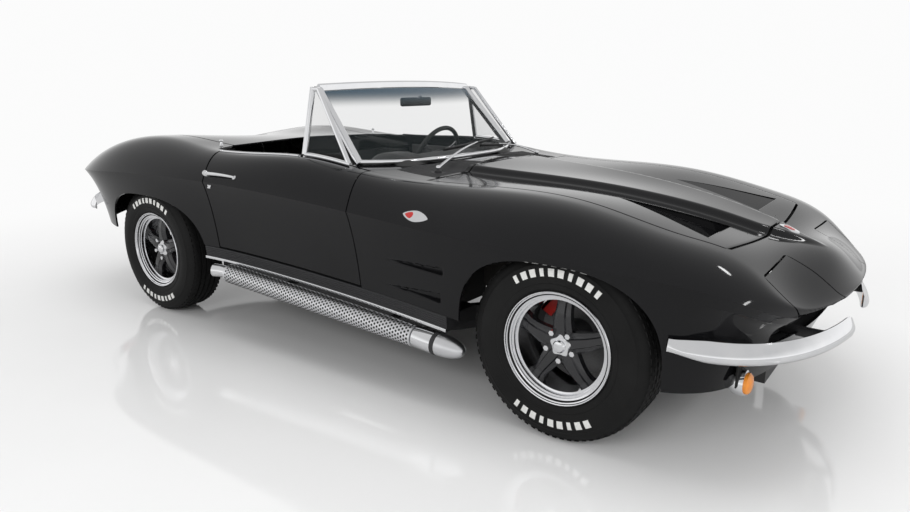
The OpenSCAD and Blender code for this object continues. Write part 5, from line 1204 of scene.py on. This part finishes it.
def side_pipes():
    a, b = PIPE_ENDS
    run = np.linalg.norm(b - a)
    piece = Piece("exhaust_covers")
    holes, ways = [], []
    for s in (1, -1):
        flip = np.array((1, s, 1))
        c, d = a * flip, (b - a) / run * flip
        cover = [(0.040, 0.128), (0.0455, 0.130), (COVER_R, 0.134), (COVER_R, run - 0.006), (0.0452, run), (0.040, run),
                 (0.040, 0.128)]
        piece.ring("pipe_chrome", cover, c, d, 72).turned("chrome", SLEEVE, c, d, 72)
        piece.turned("satin_black", CLAMP, c, d, 72).turned("pipe_chrome", PIPE_NOSE, c, d, 72)
        end = c + d * run
        turn = np.array([end - d * 0.02, end + d * 0.03, end + d * 0.06 + (0, 0.004 * s, 0),
                         end + d * 0.10 + (0, 0.016 * s, -0.002)])
        piece.bar("chrome", turn, circle(0.031, 32), scale=[1, 1, 1.02, 1.06])
        way = turn[-1] - turn[-2]
        # Disc of painted shade inside the pipe's open end
        piece.turned("dark_void", PIPE_BORE, turn[-1] + way * 0.01, way, 32)
        for t in (0.25, 0.75):
            p = c + d * run * t
            piece.block("satin_black", p + (-0.013, -0.160 * s, -0.009), p + (0.013, -0.02 * s, 0.009))
        e1 = np.array((0.0, s, 0.0))
        e2 = np.cross(d, e1)
        e2 /= np.linalg.norm(e2)
        for i, h in enumerate(np.arange(0.142, run - 0.012, COVER_PITCH * 0.866)):
            q = (np.arange(-8, 9) + (0.5 if i % 2 else 0)) * COVER_PITCH / COVER_R
            n = np.cos(q)[:, None] * e1 + np.sin(q)[:, None] * e2
            holes.append(c + d * h + n * (COVER_R - 0.0001))
            ways.append(n)
    piece.make("body", ["side_pipes"], "bright_trim")
    # The covers' holes are dark discs of painted shade, not openings
    studs("cover_holes", np.concatenate(holes), np.concatenate(ways), setting("cover_hole"), 0.0008, 6, "dark_void",
          "body")


def rocker_covers():
    """Ribbed sills with a bright lower edge."""
    x = np.linspace(REAR_X + ARCH_L + REAR_REACH, FRONT_X - ARCH_L - 0.06, 46)
    xs, qs = np.meshgrid(x, np.linspace(0, 1, 57), indexing="ij")
    rib = 0.0035 * (0.5 - 0.5 * np.cos(qs * 7 * 2 * np.pi)) ** 0.7
    outer = skin(xs, 1 + mix(FOOT + 0.004, 1.0, qs)) - rib[..., None] * inward(xs)
    inner = outer.copy()
    inner[..., 1] = 0.640
    piece = Piece("rocker_ribs").both("satin_black", *shell(outer, inner)[:2])
    piece.both("chrome", *sweep(skin(x, np.full_like(x, 1.985)) - 0.006 * inward(x), rounded(0.008, 0.014, 0.003)))
    piece.make("body", ["rockers"], "rocker_black", angle=50)


# Trim on the body
HANDLE_W, LOCK_X, LOCK_W = 0.976, DOOR_REAR + 0.046, 1.040
LOZENGE_X, LOZENGE_W, NOSE_LOZENGE_X = FRONT_X - 0.592, 0.964, 1.943
BUTTON = ((0, 0.0), (0.014, 0.0), (0.014, 0.020), (0.011, 0.026), (0, 0.028))
HANDLE_FOOT = ((0, 0.0), (0.010, 0.0), (0.010, 0.006), (0, 0.010))
LOCK = ((0, -0.002), (0.013, -0.002), (0.013, 0.003), (0.009, 0.006), (0.008, 0.004), (0, 0.004))
DECK_STUD = ((0, 0), (0.010, 0), (0.007, 0.008), (0.006, 0.020), (0.010, 0.024), (0.008, 0.031), (0, 0.033))


def door_trim(side):
    """Sill strip, pull handle with its button, and the lock below it."""
    flip = (1, side, 1)
    x = np.linspace(DOOR_REAR - 0.06, VENT_REAR_X - 0.02, 40)
    p = skin(x, np.full_like(x, CROWN + 0.012)) * flip + (0, 0, 0.003)
    strip = Piece(f"sill_strip_{hand(side)}").bar("chrome", p, rounded(0.014, 0.009, 0.003))
    strip.bar("cabin_black", p + (0, -0.016 * side, 0.001), rounded(0.014, 0.008, 0.003))
    xs = np.linspace(DOOR_REAR - 0.012, DOOR_REAR + 0.222, 24)
    hump = 0.004 + 0.013 * np.sin(np.pi * np.linspace(0.04, 0.96, 24)) ** 0.5
    keep = xs > DOOR_REAR + 0.012
    xs, hump = xs[keep], hump[keep]
    base, out = skin(xs, np.full_like(xs, HANDLE_W)) * flip, -depth(xs, np.full_like(xs, HANDLE_W)) * flip
    strip.bar("chrome", base + out * hump[:, None], rounded(0.011, 0.015, 0.004), scale=np.linspace(1.15, 0.7, len(xs)))
    strip.turned("chrome", BUTTON, base[0], out[0], 32).turned("chrome", HANDLE_FOOT, base[-1], out[0], 28)
    strip.turned("chrome", LOCK, skin(LOCK_X, LOCK_W) * flip, -depth(LOCK_X, LOCK_W) * flip, 32)
    strip.make(f"door_{hand(side)}", [], "bright_trim")


def body_trim():
    """Plain lozenges with an enamel field on wings and nose, and the two studs that hold the folded top."""
    piece = Piece("sill_strips")
    for s in (1, -1):
        door_trim(s)
        flip = (1, s, 1)
        c, n = skin(LOZENGE_X, LOZENGE_W) * flip, -depth(LOZENGE_X, LOZENGE_W) * flip
        u = skin(LOZENGE_X + 0.01, LOZENGE_W) * flip - c
        u /= np.linalg.norm(u)
        v = np.cross(n, u)
        for look, a, b, h, back in (("chrome", 0.062, 0.024, 0.003, 0), ("ruby", 0.030, 0.014, 0.0045, 0.020)):
            o = c - u * back
            ring = np.array([o + u * a * math.cos(t) * abs(math.cos(t)) ** 0.2
                             + v * b * math.sin(t) * abs(math.sin(t)) ** 0.5
                             for t in np.linspace(0, 2 * np.pi, 40, endpoint=False)])
            piece.dome(look, ring - n * 0.004, ring + n * h, o + n * (h + 0.0055))
    c = on_top(NOSE_LOZENGE_X, 0.0)
    for look, a, b, h in (("chrome", 0.036, 0.026, 0.004), ("ruby", 0.020, 0.014, 0.006)):
        ring = np.array([on_top(c[0] + a * math.cos(t), b * math.sin(t))
                         for t in np.linspace(0, 2 * np.pi, 36, endpoint=False)])
        piece.dome(look, ring - (0, 0, 0.003), ring + (0, 0, h), c + (0, 0, h + 0.002))
    for s in (1, -1):
        piece.turned("chrome", DECK_STUD, on_top(COCKPIT_X - 0.02, s * 0.585), (0, 0, 1), 24)
    piece.make("body", [], "bright_trim")


WIPER_BOSS = ((0, -0.01), (0.016, -0.01), (0.016, 0.008), (0.011, 0.014), (0, 0.016))
# Each blade's ends: places across the screen and shares of its height
WIPER_SPANS = (((-0.29, 0.55), (0.085, 0.150)), ((0.95, 0.20), (0.012, 0.085)))


def wiper_set():
    piece = Piece("wiper_arms")
    t = np.linspace(0, 1, 12)[:, None]
    for y, (ks, ts) in zip(WIPER_YS, WIPER_SPANS):
        p = on_top(WIPER_X, y)
        piece.turned("satin_black", WIPER_BOSS, p, (0, 0, 1), 28)
        piece.turned("chrome", ball(0.011, 0.022, 14), p, (0, 0, 1), 24)
        blade = []
        for f in np.linspace(0, 1, 14):
            a, b = screen_line(mix(*ks, f))
            blade.append(a + (b - a) * mix(*ts, f) + (0.014, 0, 0.012))
        blade = np.array(blade)
        mid = blade[7] + (0.008, 0, 0.006)
        arm = p + (0, 0, 0.020) + (mid - p - (0, 0, 0.020)) * t + np.sin(np.pi * t) * np.array((0.0, 0, 0.012))
        piece.bar("polished_alloy", arm, rounded(0.011, 0.006, 0.002), scale=np.linspace(1.3, 0.7, 12))
        piece.bar("satin_black", blade + (0.004, 0, 0.004), rounded(0.007, 0.008, 0.002))
        piece.bar("tyre_rubber", blade + (-0.002, 0, -0.003), rounded(0.003, 0.010, 0.001))
    piece.make("body", ["wipers"], "bright_trim")


TURN_PLACE, TAIL_LAMP_YS, TAIL_LAMP_Z = (1.936, 0.606, 0.304), (0.300, 0.460), 0.630
TURN_CUP = ((0, -0.010), (0.030, -0.010), (0.042, 0.006), (0.045, 0.030), (0.043, 0.040), (0.038, 0.042), (0, 0.042))
TURN_LENS = ((0, 0.040), (0.036, 0.040), (0.036, 0.050), (0.028, 0.058), (0.012, 0.062), (0, 0.0625))
TAIL_CUP = ((0, -0.05), (0.050, -0.05), (0.052, 0.010), (0.050, 0.018), (0.045, 0.020), (0, 0.020))
TAIL_LENS = ((0, 0.018), (0.044, 0.018), (0.043, 0.026), (0.034, 0.036), (0.016, 0.042), (0, 0.043))


def lamps():
    front, rear = Piece("turn_lamp_set"), Piece("tail_lamp_set")
    xs = np.linspace(REAR_X - 0.9, TAIL_X + 0.0008, 400)
    flank = skin(xs, 1 + skirt_share(xs, TAIL_LAMP_Z))
    for s in (1, -1):
        c = np.array(TURN_PLACE) * (1, s, 1)
        front.turned("chrome", TURN_CUP, c, (1, 0, 0), 48).turned("amber", TURN_LENS, c, (1, 0, 0), 48)
        front.bar("satin_black", [c + (0, -0.21 * s, 0), c + (0, -0.03 * s, 0)], circle(0.008, 16), up=(1, 0, 0))
        for y in TAIL_LAMP_YS:
            c = (flank[np.argmin(np.abs(flank[:, 1] - y))][0], s * y, TAIL_LAMP_Z)
            axis = (-1, 0.12 * s, 0.0)
            rear.turned("chrome", TAIL_CUP, c, axis, 56).turned("ruby", TAIL_LENS, c, axis, 56)
    front.make("body", ["turn_lamps"], "amber_lens")
    rear.make("body", ["tail_lamps"], "red_lens")


GRILLE_W, GRILLE_BOW = 0.42, 0.05


def grille_bars():
    piece = Piece("grille_bars")
    y = np.linspace(-GRILLE_W, GRILLE_W, 40)
    for z in np.linspace(0.345, 0.438, 6):
        path = np.stack([2.045 - GRILLE_BOW * (y / GRILLE_W) ** 2, y, np.full_like(y, z)], -1)
        piece.bar("satin_black", path, rounded(0.012, 0.008, 0.003))
    for yy in np.linspace(-0.40, 0.40, 9):
        x = 2.032 - GRILLE_BOW * (yy / GRILLE_W) ** 2
        piece.block("satin_black", (x - 0.004, yy - 0.003, 0.335), (x + 0.006, yy + 0.003, 0.446), 0.001)
    piece.make("body", ["grille"], "tub_black")


ARM_REACH, ARM_HALF = 0.160, 0.008
ARM_EYE = ((0.0083, -0.008), (0.016, -0.008), (0.016, 0.008), (0.0083, 0.008))


def goosenecks():
    """Hinge arms of the hood and of the lid, two each."""
    for name, axis, y, way, body in (("hood_arms", (POD_REAR, 0.62625), 0.2207, 1, "hood"),
                                     ("lid_arms", (LID_REAR - 0.1, 0.8453), 0.430, -1, "deck_lid")):
        piece = Piece(name)
        rise = float(on_top(axis[0] - way * ARM_REACH, y)[2]) - LID_T / 2 - axis[1]
        pts = np.array([(-0.008, -0.016), (-ARM_REACH, -0.086), (-ARM_REACH - 0.016, rise), (-ARM_REACH + 0.016, rise),
                        (-ARM_REACH + 0.016, -0.054), (-0.008, 0.008)])
        n = len(pts)
        for s in (1, -1):
            ring = [np.stack([axis[0] + way * pts[:, 0], np.full(n, s * y + e), axis[1] + pts[:, 1]], -1)
                    for e in (-ARM_HALF, ARM_HALF)]
            piece.add(np.concatenate(ring), tube_faces(2, n), "satin_black")
            piece.ring("satin_black", ARM_EYE, (axis[0], s * y, axis[1]), (0, 1, 0), 32)
        piece.make(body, [body], "chassis_black")


# Cabin
def cushion(half, up, channels, k=7, cuts=30):
    """Rounded pad with sewn channels and a bolster each side; up is the axis its seat faces."""
    bm = bmesh.new()
    bmesh.ops.create_cube(bm, size=2)
    bmesh.ops.subdivide_edges(bm, edges=list(bm.edges), cuts=cuts, use_grid_fill=True)
    bm.verts.index_update()
    p = np.array([v.co[:] for v in bm.verts])
    faces = [tuple(v.index for v in q.verts) for q in bm.faces]
    bm.free()
    p = p / (np.abs(p) ** k).sum(1, keepdims=True) ** (1 / k)
    q = p * half
    along = 0 if up == 2 else 2
    face = smooth((p[:, up] - 0.55) / 0.35)
    inset = smooth((0.80 - np.abs(p[:, 1])) / 0.10)
    span = smooth((0.86 - np.abs(p[:, along])) / 0.08)
    groove = np.exp(-((np.abs(((q[:, 1] / half[1] * channels) % 1) - 0.5) - 0.5) / 0.085) ** 2)
    crown = (1 - p[:, 1] ** 2) * (1 - p[:, along] ** 2)
    q[:, up] += face * (0.016 * crown - 0.010 * groove * inset * span)
    edge = np.exp(-((np.abs(p[:, 1]) - 0.80) / 0.035) ** 2) * face * span
    q[:, up] -= 0.010 * edge
    q[:, 1] *= 1 - 0.03 * (1 - p[:, along] ** 2) * (1 - face)
    return q, faces


SEAT_HALF, BACK_HALF, BACK_LEAN = (0.245, 0.186, 0.080), (0.050, 0.186, 0.212), math.radians(18)


def seat(side):
    name, y0 = hand(side), side * SEAT_Y
    piece = Piece(f"seat_trim_{name}")
    q, faces = cushion(np.array(SEAT_HALF), 2, 3)
    q[:, 2] += 0.03 * smooth((q[:, 0] - 0.05) / 0.2)
    piece.add(q + (-0.250, y0, 0.348), faces, "seat_hide")
    q, faces = cushion(np.array(BACK_HALF), 0, 3)
    q[:, 1] *= 1 - 0.10 * smooth((q[:, 2] - 0.05) / 0.16)
    x, y, z = (q + (-0.055, 0, 0.215)).T
    c, s = math.cos(BACK_LEAN), math.sin(BACK_LEAN)
    piece.add(np.stack([x * c - z * s, y, x * s + z * c], -1) + np.array((-0.390, y0, 0.350)), faces, "seat_hide")
    obj = piece.make("body", ["seats"], "seat_hide", angle=60)
    rails = Piece(f"seat_runners_{name}")
    for dy in (-0.14, 0.14):
        rails.block("satin_black", (-0.48, y0 + dy - 0.015, 0.256), (-0.02, y0 + dy + 0.015, 0.285), 0.004)
    rails.make("body", [], "chassis_black")


# The dash's section as (x, z), how far each point rises with the two humps, and the dials as (y, z, radius)
DASH = np.array([(0.625, 0.650), (0.560, 0.740), (0.470, 0.815), (0.390, 0.846), (0.300, 0.852), (0.235, 0.850),
                 (0.207, 0.842), (0.196, 0.826), (0.200, 0.800), (0.206, 0.720), (0.210, 0.655), (0.225, 0.642),
                 (0.320, 0.632), (0.480, 0.628)])
DASH_LIFT = np.array([0, 0.1, 0.5, 0.9, 1, 1, 1, 1, 0.85, 0, 0, 0, 0, 0])
DIALS = ((0.265, 0.790, 0.062), (0.430, 0.790, 0.062), (0.165, 0.740, 0.030), (0.350, 0.715, 0.030),
         (0.530, 0.740, 0.030), (0.0, 0.770, 0.034))
DIAL_X = 0.1965


def dash():
    piece = Piece("dash_pad")
    y = np.linspace(-0.596, 0.596, 121)
    hump = 0.075 * np.maximum(smooth(1.25 - np.abs(np.abs(y) - 0.345) / 0.17), 0)
    x, ys = np.broadcast_arrays(DASH[:, 0], y[:, None])
    pts = np.stack([x, ys, DASH[None, :, 1] + hump[:, None] * DASH_LIFT[None]], -1)
    piece.add(pts, tube_faces(*x.shape), "cabin_black")
    for yy, zz, r in DIALS:
        c, back = np.array((DIAL_X, yy, zz)), (-1, 0, 0)
        bezel = ((r - 0.004, 0.000), (r + 0.004, 0.000), (r + 0.003, 0.010), (r - 0.002, 0.008))
        piece.ring("chrome", bezel, c, back, 44)
        face = ((0, -0.004), (r - 0.002, -0.004), (r - 0.002, 0.003), (0, 0.0035))
        piece.turned("dial_face", face, c, back, 44)
        for k in range(11):
            t = math.radians(-40 + 26 * k)
            e1, e2 = np.array((0, -math.cos(t), math.sin(t))), np.array((0, math.sin(t), math.cos(t)))
            tick = [c + (-0.0042, 0, 0) + e1 * (r * f) + e2 * w
                    for f, w in ((0.74, -0.0009), (0.74, 0.0009), (0.88, 0.0009), (0.88, -0.0009))]
            piece.add(tick, [(0, 1, 2, 3)], "tyre_mark")
    piece.block("cabin_black", (0.188, -0.56, 0.690), (0.204, -0.16, 0.770), 0.006, 3)
    grip = [(0.185, -0.54, 0.784), (0.178, -0.50, 0.787), (0.178, -0.22, 0.787), (0.185, -0.18, 0.784)]
    piece.bar("chrome", grip, circle(0.007, 16))
    piece.make("body", ["dashboard"], "cabin_plastic", angle=40)


COLUMN_TILT, COLUMN_HUB = math.radians(20), np.array((-0.02997, SEAT_Y, 0.820))
WHEEL_RIM_R, WHEEL_GRIP = 0.187, 0.0125
BOSS = ((0, -0.022), (0.020, -0.021), (0.040, -0.015), (0.052, -0.006), (0.055, 0.006), (0.040, 0.014), (0.028, 0.050),
        (0, 0.050))
BOSS_RING = ((0.034, -0.020), (0.040, -0.0175), (0.043, -0.012), (0.034, -0.012))
SHROUD = ((0, 0.062), (0.026, 0.062), (0.030, 0.068), (0.030, 0.200), (0.036, 0.210), (0.036, 0.235), (0, 0.235))


def wheel_and_column():
    hub, ax = COLUMN_HUB, np.array((math.cos(COLUMN_TILT), 0, -math.sin(COLUMN_TILT)))
    rim = [(WHEEL_RIM_R + WHEEL_GRIP * math.cos(a), WHEEL_GRIP * math.sin(a))
           for a in np.linspace(0, 2 * np.pi, 28, endpoint=False)]
    piece = Piece("steering_rim").ring("cabin_black", rim, hub, ax, 96)
    piece.turned("cabin_black", BOSS, hub, ax, 56).ring("chrome", BOSS_RING, hub, ax, 56)
    up = np.array((0, 0, 1.0)) - ax * ax[2]
    up /= np.linalg.norm(up)
    across = np.cross(ax, up)
    for a in (180, 300, 420):
        r = math.cos(math.radians(a)) * up + math.sin(math.radians(a)) * across
        path = np.array([hub + r * f + ax * (0.006 * math.sin((f - 0.04) * 18)) for f in np.linspace(0.040, 0.182, 10)])
        for off in (-0.010, 0.010):
            piece.bar("chrome", path + np.cross(ax, r) * off, rounded(0.009, 0.004, 0.0015), up=ax)
        piece.bar("chrome", path[:3], rounded(0.034, 0.005, 0.002), up=ax)
        piece.bar("chrome", path[-3:], rounded(0.032, 0.005, 0.002), up=ax)
    piece.make("steering_wheel", ["steering_wheel"], "cabin_plastic")
    col = Piece("column_shroud").turned("cabin_black", SHROUD, hub, ax, 48)
    stalk = hub + ax * 0.09
    path = [stalk, stalk + (0.0, 0.07, 0.006), stalk + (-0.01, 0.125, 0.012)]
    col.bar("chrome", path, circle(0.005, 14), scale=[1, 0.8, 1.1])
    col.make("body", ["steering_column"], "cabin_plastic")


LEVER_X, MIRROR_Z = -0.090, 1.173
BOOT = ((0, 0.0), (0.042, 0.0), (0.034, 0.018), (0.036, 0.022), (0.024, 0.038), (0.014, 0.055), (0, 0.056))


def console():
    piece = Piece("console_trim")
    piece.block("cabin_black", (-0.505, -0.07, 0.521), (0.605, 0.07, 0.536), 0.006, 3)
    piece.block("polished_alloy", (-0.20, -0.05, 0.536), (0.08, 0.05, 0.541), 0.002)
    piece.turned("cabin_black", BOOT, (LEVER_X, 0, 0.540), (0, 0, 1), 36)
    piece.bar("chrome", [(LEVER_X, 0, 0.58), (LEVER_X, 0, 0.67)], circle(0.007, 16), up=(1, 0, 0))
    piece.turned("cabin_black", ball(0.024, 0.0, 16), (LEVER_X, 0, 0.686), (0, 0, 1), 32)
    piece.block("seat_hide", (-0.50, -0.055, 0.536), (-0.26, 0.055, 0.560), 0.012, 3)
    piece.make("body", ["console"], "cabin_plastic")


def cabin_mirror():
    piece = Piece("rear_view_mirror")
    a, b = screen_line(0.0)
    x = (a + (b - a) * ((MIRROR_Z - a[2]) / (b[2] - a[2])))[0] - 0.003
    piece.block("satin_black", (x - 0.046, -0.118, 1.128), (x - 0.024, 0.118, 1.172), 0.010, 3)
    piece.block("chrome", (x - 0.0475, -0.110, 1.133), (x - 0.045, 0.110, 1.167), 0.001)
    piece.bar("chrome", [(x - 0.034, 0, 1.160), (x - 0.018, 0, 1.170), (x - 0.001, 0, 1.176)], circle(0.006, 14))
    piece.make("body", ["cabin_mirror"], "bright_trim")


# A door's inner fittings on the left: finish, path and section
CARD_BARS = (
    ("seat_hide", ((-0.34, 0.640, 0.655), (-0.30, 0.618, 0.662), (-0.05, 0.612, 0.670), (0.02, 0.640, 0.672)),
     (0.040, 0.050, 0.018)),
    ("chrome", ((-0.44, 0.646, 0.50), (0.34, 0.646, 0.50)), (0.004, 0.010, 0.001)),
    ("chrome", ((0.16, 0.634, 0.66), (0.20, 0.628, 0.63), (0.235, 0.626, 0.605)), (0.010, 0.006, 0.002)),
    ("chrome", ((-0.33, 0.645, 0.76), (-0.30, 0.632, 0.762), (-0.23, 0.632, 0.762)), (0.010, 0.010, 0.003)))
WINDER_BOSS = ((0, 0), (0.020, 0), (0.018, 0.014), (0, 0.016))
WINDER_KNOB = ((0, 0), (0.012, 0), (0.013, 0.022), (0, 0.026))


def door_card(side):
    """Padded inner face of a door with arm rest, winder and pull."""
    card = Piece(f"door_card_{hand(side)}", side)
    card.block("seat_hide", (-0.46, 0.648, 0.47), (0.36, 0.661, 0.86), 0.006, 3)
    for look, path, section in CARD_BARS:
        card.bar(look, path, rounded(*section))
    card.turned("chrome", WINDER_BOSS, (0.16, 0.648, 0.66), (0, -1, 0), 32)
    card.turned("cabin_black", WINDER_KNOB, (0.235, 0.628, 0.605), (0, -1, 0), 24)
    card.make(f"door_{hand(side)}", [], "seat_hide", angle=40)


# Engine and running gear
CLEANER = ((0, 0.0), (0.075, 0.0), (0.080, 0.020), (0.112, 0.022), (0.118, 0.028), (0.118, 0.050), (0, 0.050))
CLEANER_LID = ((0, 0.050), (0.122, 0.050), (0.124, 0.056), (0.116, 0.062), (0.030, 0.067), (0.012, 0.070),
               (0.012, 0.078), (0, 0.079))
HOSE = ((1.43, 0.10, -0.03), (1.47, 0.10, -0.015), (1.55, 0.10, -0.02), (1.62, 0.10, -0.05), (1.69, 0.10, -0.07))


def engine_dress():
    """Rocker covers, air cleaner and top hose on the plain block."""
    top = float(on_top(FRONT_X, 0)[2]) - 0.105
    piece = Piece("engine_dress")
    for s in (1, -1):
        piece.block("polished_alloy", (0.95, s * 0.14, top - 0.002), (1.42, s * 0.26, top + 0.040), 0.012, 3)
        for x in np.linspace(0.985, 1.385, 15):
            lo, hi = (x - 0.005, s * 0.155, top + 0.036), (x + 0.005, s * 0.245, top + 0.047)
            piece.block("polished_alloy", lo, hi, 0.002)
    turn = (1.16, 0, top), (0, 0, 1), 72
    piece.turned("satin_black", CLEANER, *turn).turned("chrome", CLEANER_LID, *turn)
    piece.bar("tyre_rubber", np.array(HOSE) + (0, 0, top), circle(0.022, 24))
    piece.make("body", [], "bright_trim")


def dress_frame():
    """Finishes on the CAD nodes that stay as they are."""
    for node, look in (("frame", "satin_black"), ("floor_tub", "carpet"), ("engine", "cast_iron"),
                       ("driveline", "cast_iron"), ("suspension_arms", "satin_black"),
                       ("knuckle_left", "satin_black"), ("knuckle_right", "satin_black")):
        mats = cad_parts[node].data.materials
        mats.clear()
        mats.append(finish(look))


# Studio: the floor's half size, the plan place and radii of its fade, and the shade of floor and surround afar
FLOOR_R, FADE_PLACE, FADE_RADII, PALE = 60.0, (0.4, 0.3), (1.6, 5.5), 0.97
# Lamps: name, place, aim, size, power, and whether paint and chrome show them
LAMPS = (("overhead", (0.3, -0.6, 4.6), (0.2, 0, 0), (5.5, 2.4), 90, False),
         ("side_bank", (1.2, -6.0, 3.2), (0.3, 0, 0.5), (6.0, 1.6), 150, False),
         ("far_bank", (0.0, 6.5, 3.4), (0, 0, 0.6), (7.0, 1.8), 120, False),
         ("nose_bank", (6.5, -0.5, 3.0), (1.5, 0, 0.5), (3.5, 1.8), 90, False),
         ("crown_lamp", (3.15, 2.65, 4.19), (1.9, -0.7, 0.69), (0.9, 0.22), 9, True),
         ("lip_lamp", (5.83, 1.1, 3.21), (1.98, -0.74, 0.61), (0.7, 0.2), 7, True))
# Camera solved from the photo: place, direction and downward tilt, focal length as a share of the width
CAMERA, CAMERA_AZ, CAMERA_DOWN = (2.443, -2.822, 1.243), math.radians(126.371), math.radians(14.061)
SENSOR, FOCAL_SHARE = 36.0, 690.5 / 910


def studio_floor():
    """Pale glossy floor that fades into the surround; reflections see it a little dimmer."""
    net = Net(bpy.data.materials.new("pale_floor"))
    x, y = net.axis("X") - FADE_PLACE[0], net.axis("Y") - FADE_PLACE[1]
    fade = net.band((x * x + y * y) ** 0.5, *FADE_RADII, 0.0, 1.0)
    grain = net.noise(2.0)
    floor = net.add("ShaderNodeBsdfPrincipled", inputs={
        "Base Color": net.colour(grain, grey(0.80), grey(0.83)), "Roughness": 0.05 + grain * 0.02, "IOR": 1.9})
    bright = net.blend(fade, floor, net.light("ShaderNodeEmission", PALE, 1.0))
    dim = net.light("ShaderNodeEmission", 0.10, 1.0)
    net.add("ShaderNodeOutputMaterial", inputs={0: net.blend(net.ray("Is Glossy Ray") * 0.35, bright, dim)})
    mesh = bpy.data.meshes.new("studio_floor")
    r = FLOOR_R
    mesh.from_pydata([(-r, -r, 0), (r, -r, 0), (r, r, 0), (-r, r, 0)], [], [(0, 1, 2, 3)])
    mesh.materials.append(net.owner)
    ground = new_object("studio_floor", mesh)


def surround():
    """Pale to the camera and through glass; reflections see a pale wall that darkens upwards."""
    net = Net(bpy.data.worlds.new("studio"))
    bpy.context.scene.world = net.owner
    wall = net.band(net.axis("Z", "Generated"), 0.08, 0.45, 1.00, 0.62)
    soft, shine, pale = (net.light("ShaderNodeBackground", c, s) for c, s in ((1, 0.60), (1, wall), (PALE, 1.0)))
    lit = net.blend(net.ray("Is Glossy Ray"), soft, shine)
    seen = net.ray("Is Camera Ray").larger(net.ray("Is Transmission Ray"))
    net.add("ShaderNodeOutputWorld", inputs={0: net.blend(seen, lit, pale)})


def look_along(obj, place, way):
    obj.location = place
    obj.rotation_euler = Vector(way).to_track_quat("-Z", "Y").to_euler()


def stage():
    """Floor, surround, soft lamps and the photo's camera."""
    scene = bpy.context.scene
    scene.view_settings.view_transform = "Standard"
    studio_floor()
    surround()
    for name, place, aim, size, power, shown in LAMPS:
        lamp = bpy.data.lights.new(name, "AREA")
        lamp.shape, lamp.energy = "ELLIPSE" if shown else "RECTANGLE", power
        lamp.size, lamp.size_y = size
        obj = new_object(name, lamp)
        look_along(obj, place, Vector(aim) - Vector(place))
        obj.visible_glossy = shown
    cam = bpy.data.cameras.new("photo_view")
    cam.sensor_width, cam.lens = SENSOR, FOCAL_SHARE * SENSOR
    scene.camera = new_object("photo_view", cam)
    flat = math.cos(CAMERA_DOWN)
    look_along(scene.camera, CAMERA, (math.cos(CAMERA_AZ) * flat, math.sin(CAMERA_AZ) * flat, -math.sin(CAMERA_DOWN)))


# Add-on
class CarFinish(bpy.types.PropertyGroup):
    """Colours and sizes that a user would change."""

    paint: bpy.props.FloatVectorProperty(
        name="Paint", description="Body colour", subtype="COLOR", size=3, default=(0.004, 0.004, 0.0045), min=0, max=1)
    rolled_edge: bpy.props.FloatProperty(
        name="Rolled edge", description="Width of the rolled edges of the painted panels", unit="LENGTH", precision=4,
        default=0.0016, min=0.0002, max=0.0025)
    cover_hole: bpy.props.FloatProperty(
        name="Cover hole", description="Radius of the holes in the side exhausts' covers", unit="LENGTH", precision=4,
        default=0.0052, min=0.001, max=0.008)


def operator(label, words, *steps):
    """An operator class that runs the builders of one group of pieces."""
    name = label.lower().replace(" ", "_")

    def execute(self, context):
        for step in steps:
            step()
        return {"FINISHED"}

    return type(f"CAR_OT_{name}", (bpy.types.Operator,), {
        "__doc__": words, "bl_idname": f"car.{name}", "bl_label": label, "execute": execute})


def each(builder, *cases):
    def run():
        for case in cases:
            builder(*case)
    return run


SIDES = ((1,), (-1,))
OPERATORS = [
    operator("Studio", "Floor, lamps, surround and camera", stage),
    operator("Body panels", "Painted skins of the body", each(fender, *SIDES), hood_panel, nose, each(pod, *SIDES),
             cowl_panel, each(door_panel, *SIDES), each(quarter_panel, *SIDES), tail, deck_lid_panel, goosenecks, gap_shades,
             top_well),
    operator("Screen and vents", "Windscreen and quarter lights", screen, each(vent, *SIDES)),
    operator("Bumpers", "Chrome blades", bumpers),
    operator("Side exhausts", "Pierced covers and pipes", side_pipes),
    operator("Rockers", "Ribbed sills", rocker_covers),
    operator("Road wheels", "Wheels, tyres and brakes", each(road_wheel, *WHEELS), each(road_tyre, *WHEELS), brakes),
    operator("Trim", "Handles, strips, wipers, lamps and grille", body_trim, wiper_set, lamps, grille_bars),
    operator("Cabin", "Seats, dash and fittings", each(seat, *SIDES), dash, wheel_and_column, console, cabin_mirror,
             each(door_card, *SIDES)),
    operator("Running gear", "Finishes of the frame and running gear", dress_frame, engine_dress),
]


class CAR_PT_panel(bpy.types.Panel):
    """Lists the car's groups of pieces."""

    bl_label = "Sports car"
    bl_idname = "CAR_PT_panel"
    bl_space_type = "VIEW_3D"
    bl_region_type = "UI"
    bl_category = "Sports car"

    def draw(self, context):
        for name in ("paint", "rolled_edge", "cover_hole"):
            self.layout.prop(context.scene.car_finish, name)
        for op in OPERATORS:
            self.layout.operator(op.bl_idname)


CLASSES = [CarFinish, *OPERATORS, CAR_PT_panel]


def register():
    for cls in CLASSES:
        bpy.utils.register_class(cls)
    bpy.types.Scene.car_finish = bpy.props.PointerProperty(type=CarFinish)


def unregister():
    del bpy.types.Scene.car_finish
    for cls in reversed(CLASSES):
        bpy.utils.unregister_class(cls)


def main():
    register()
    for op in OPERATORS:
        group, name = op.bl_idname.split(".")
        getattr(getattr(bpy.ops, group), name)()


if __name__ == "__main__":
    main()
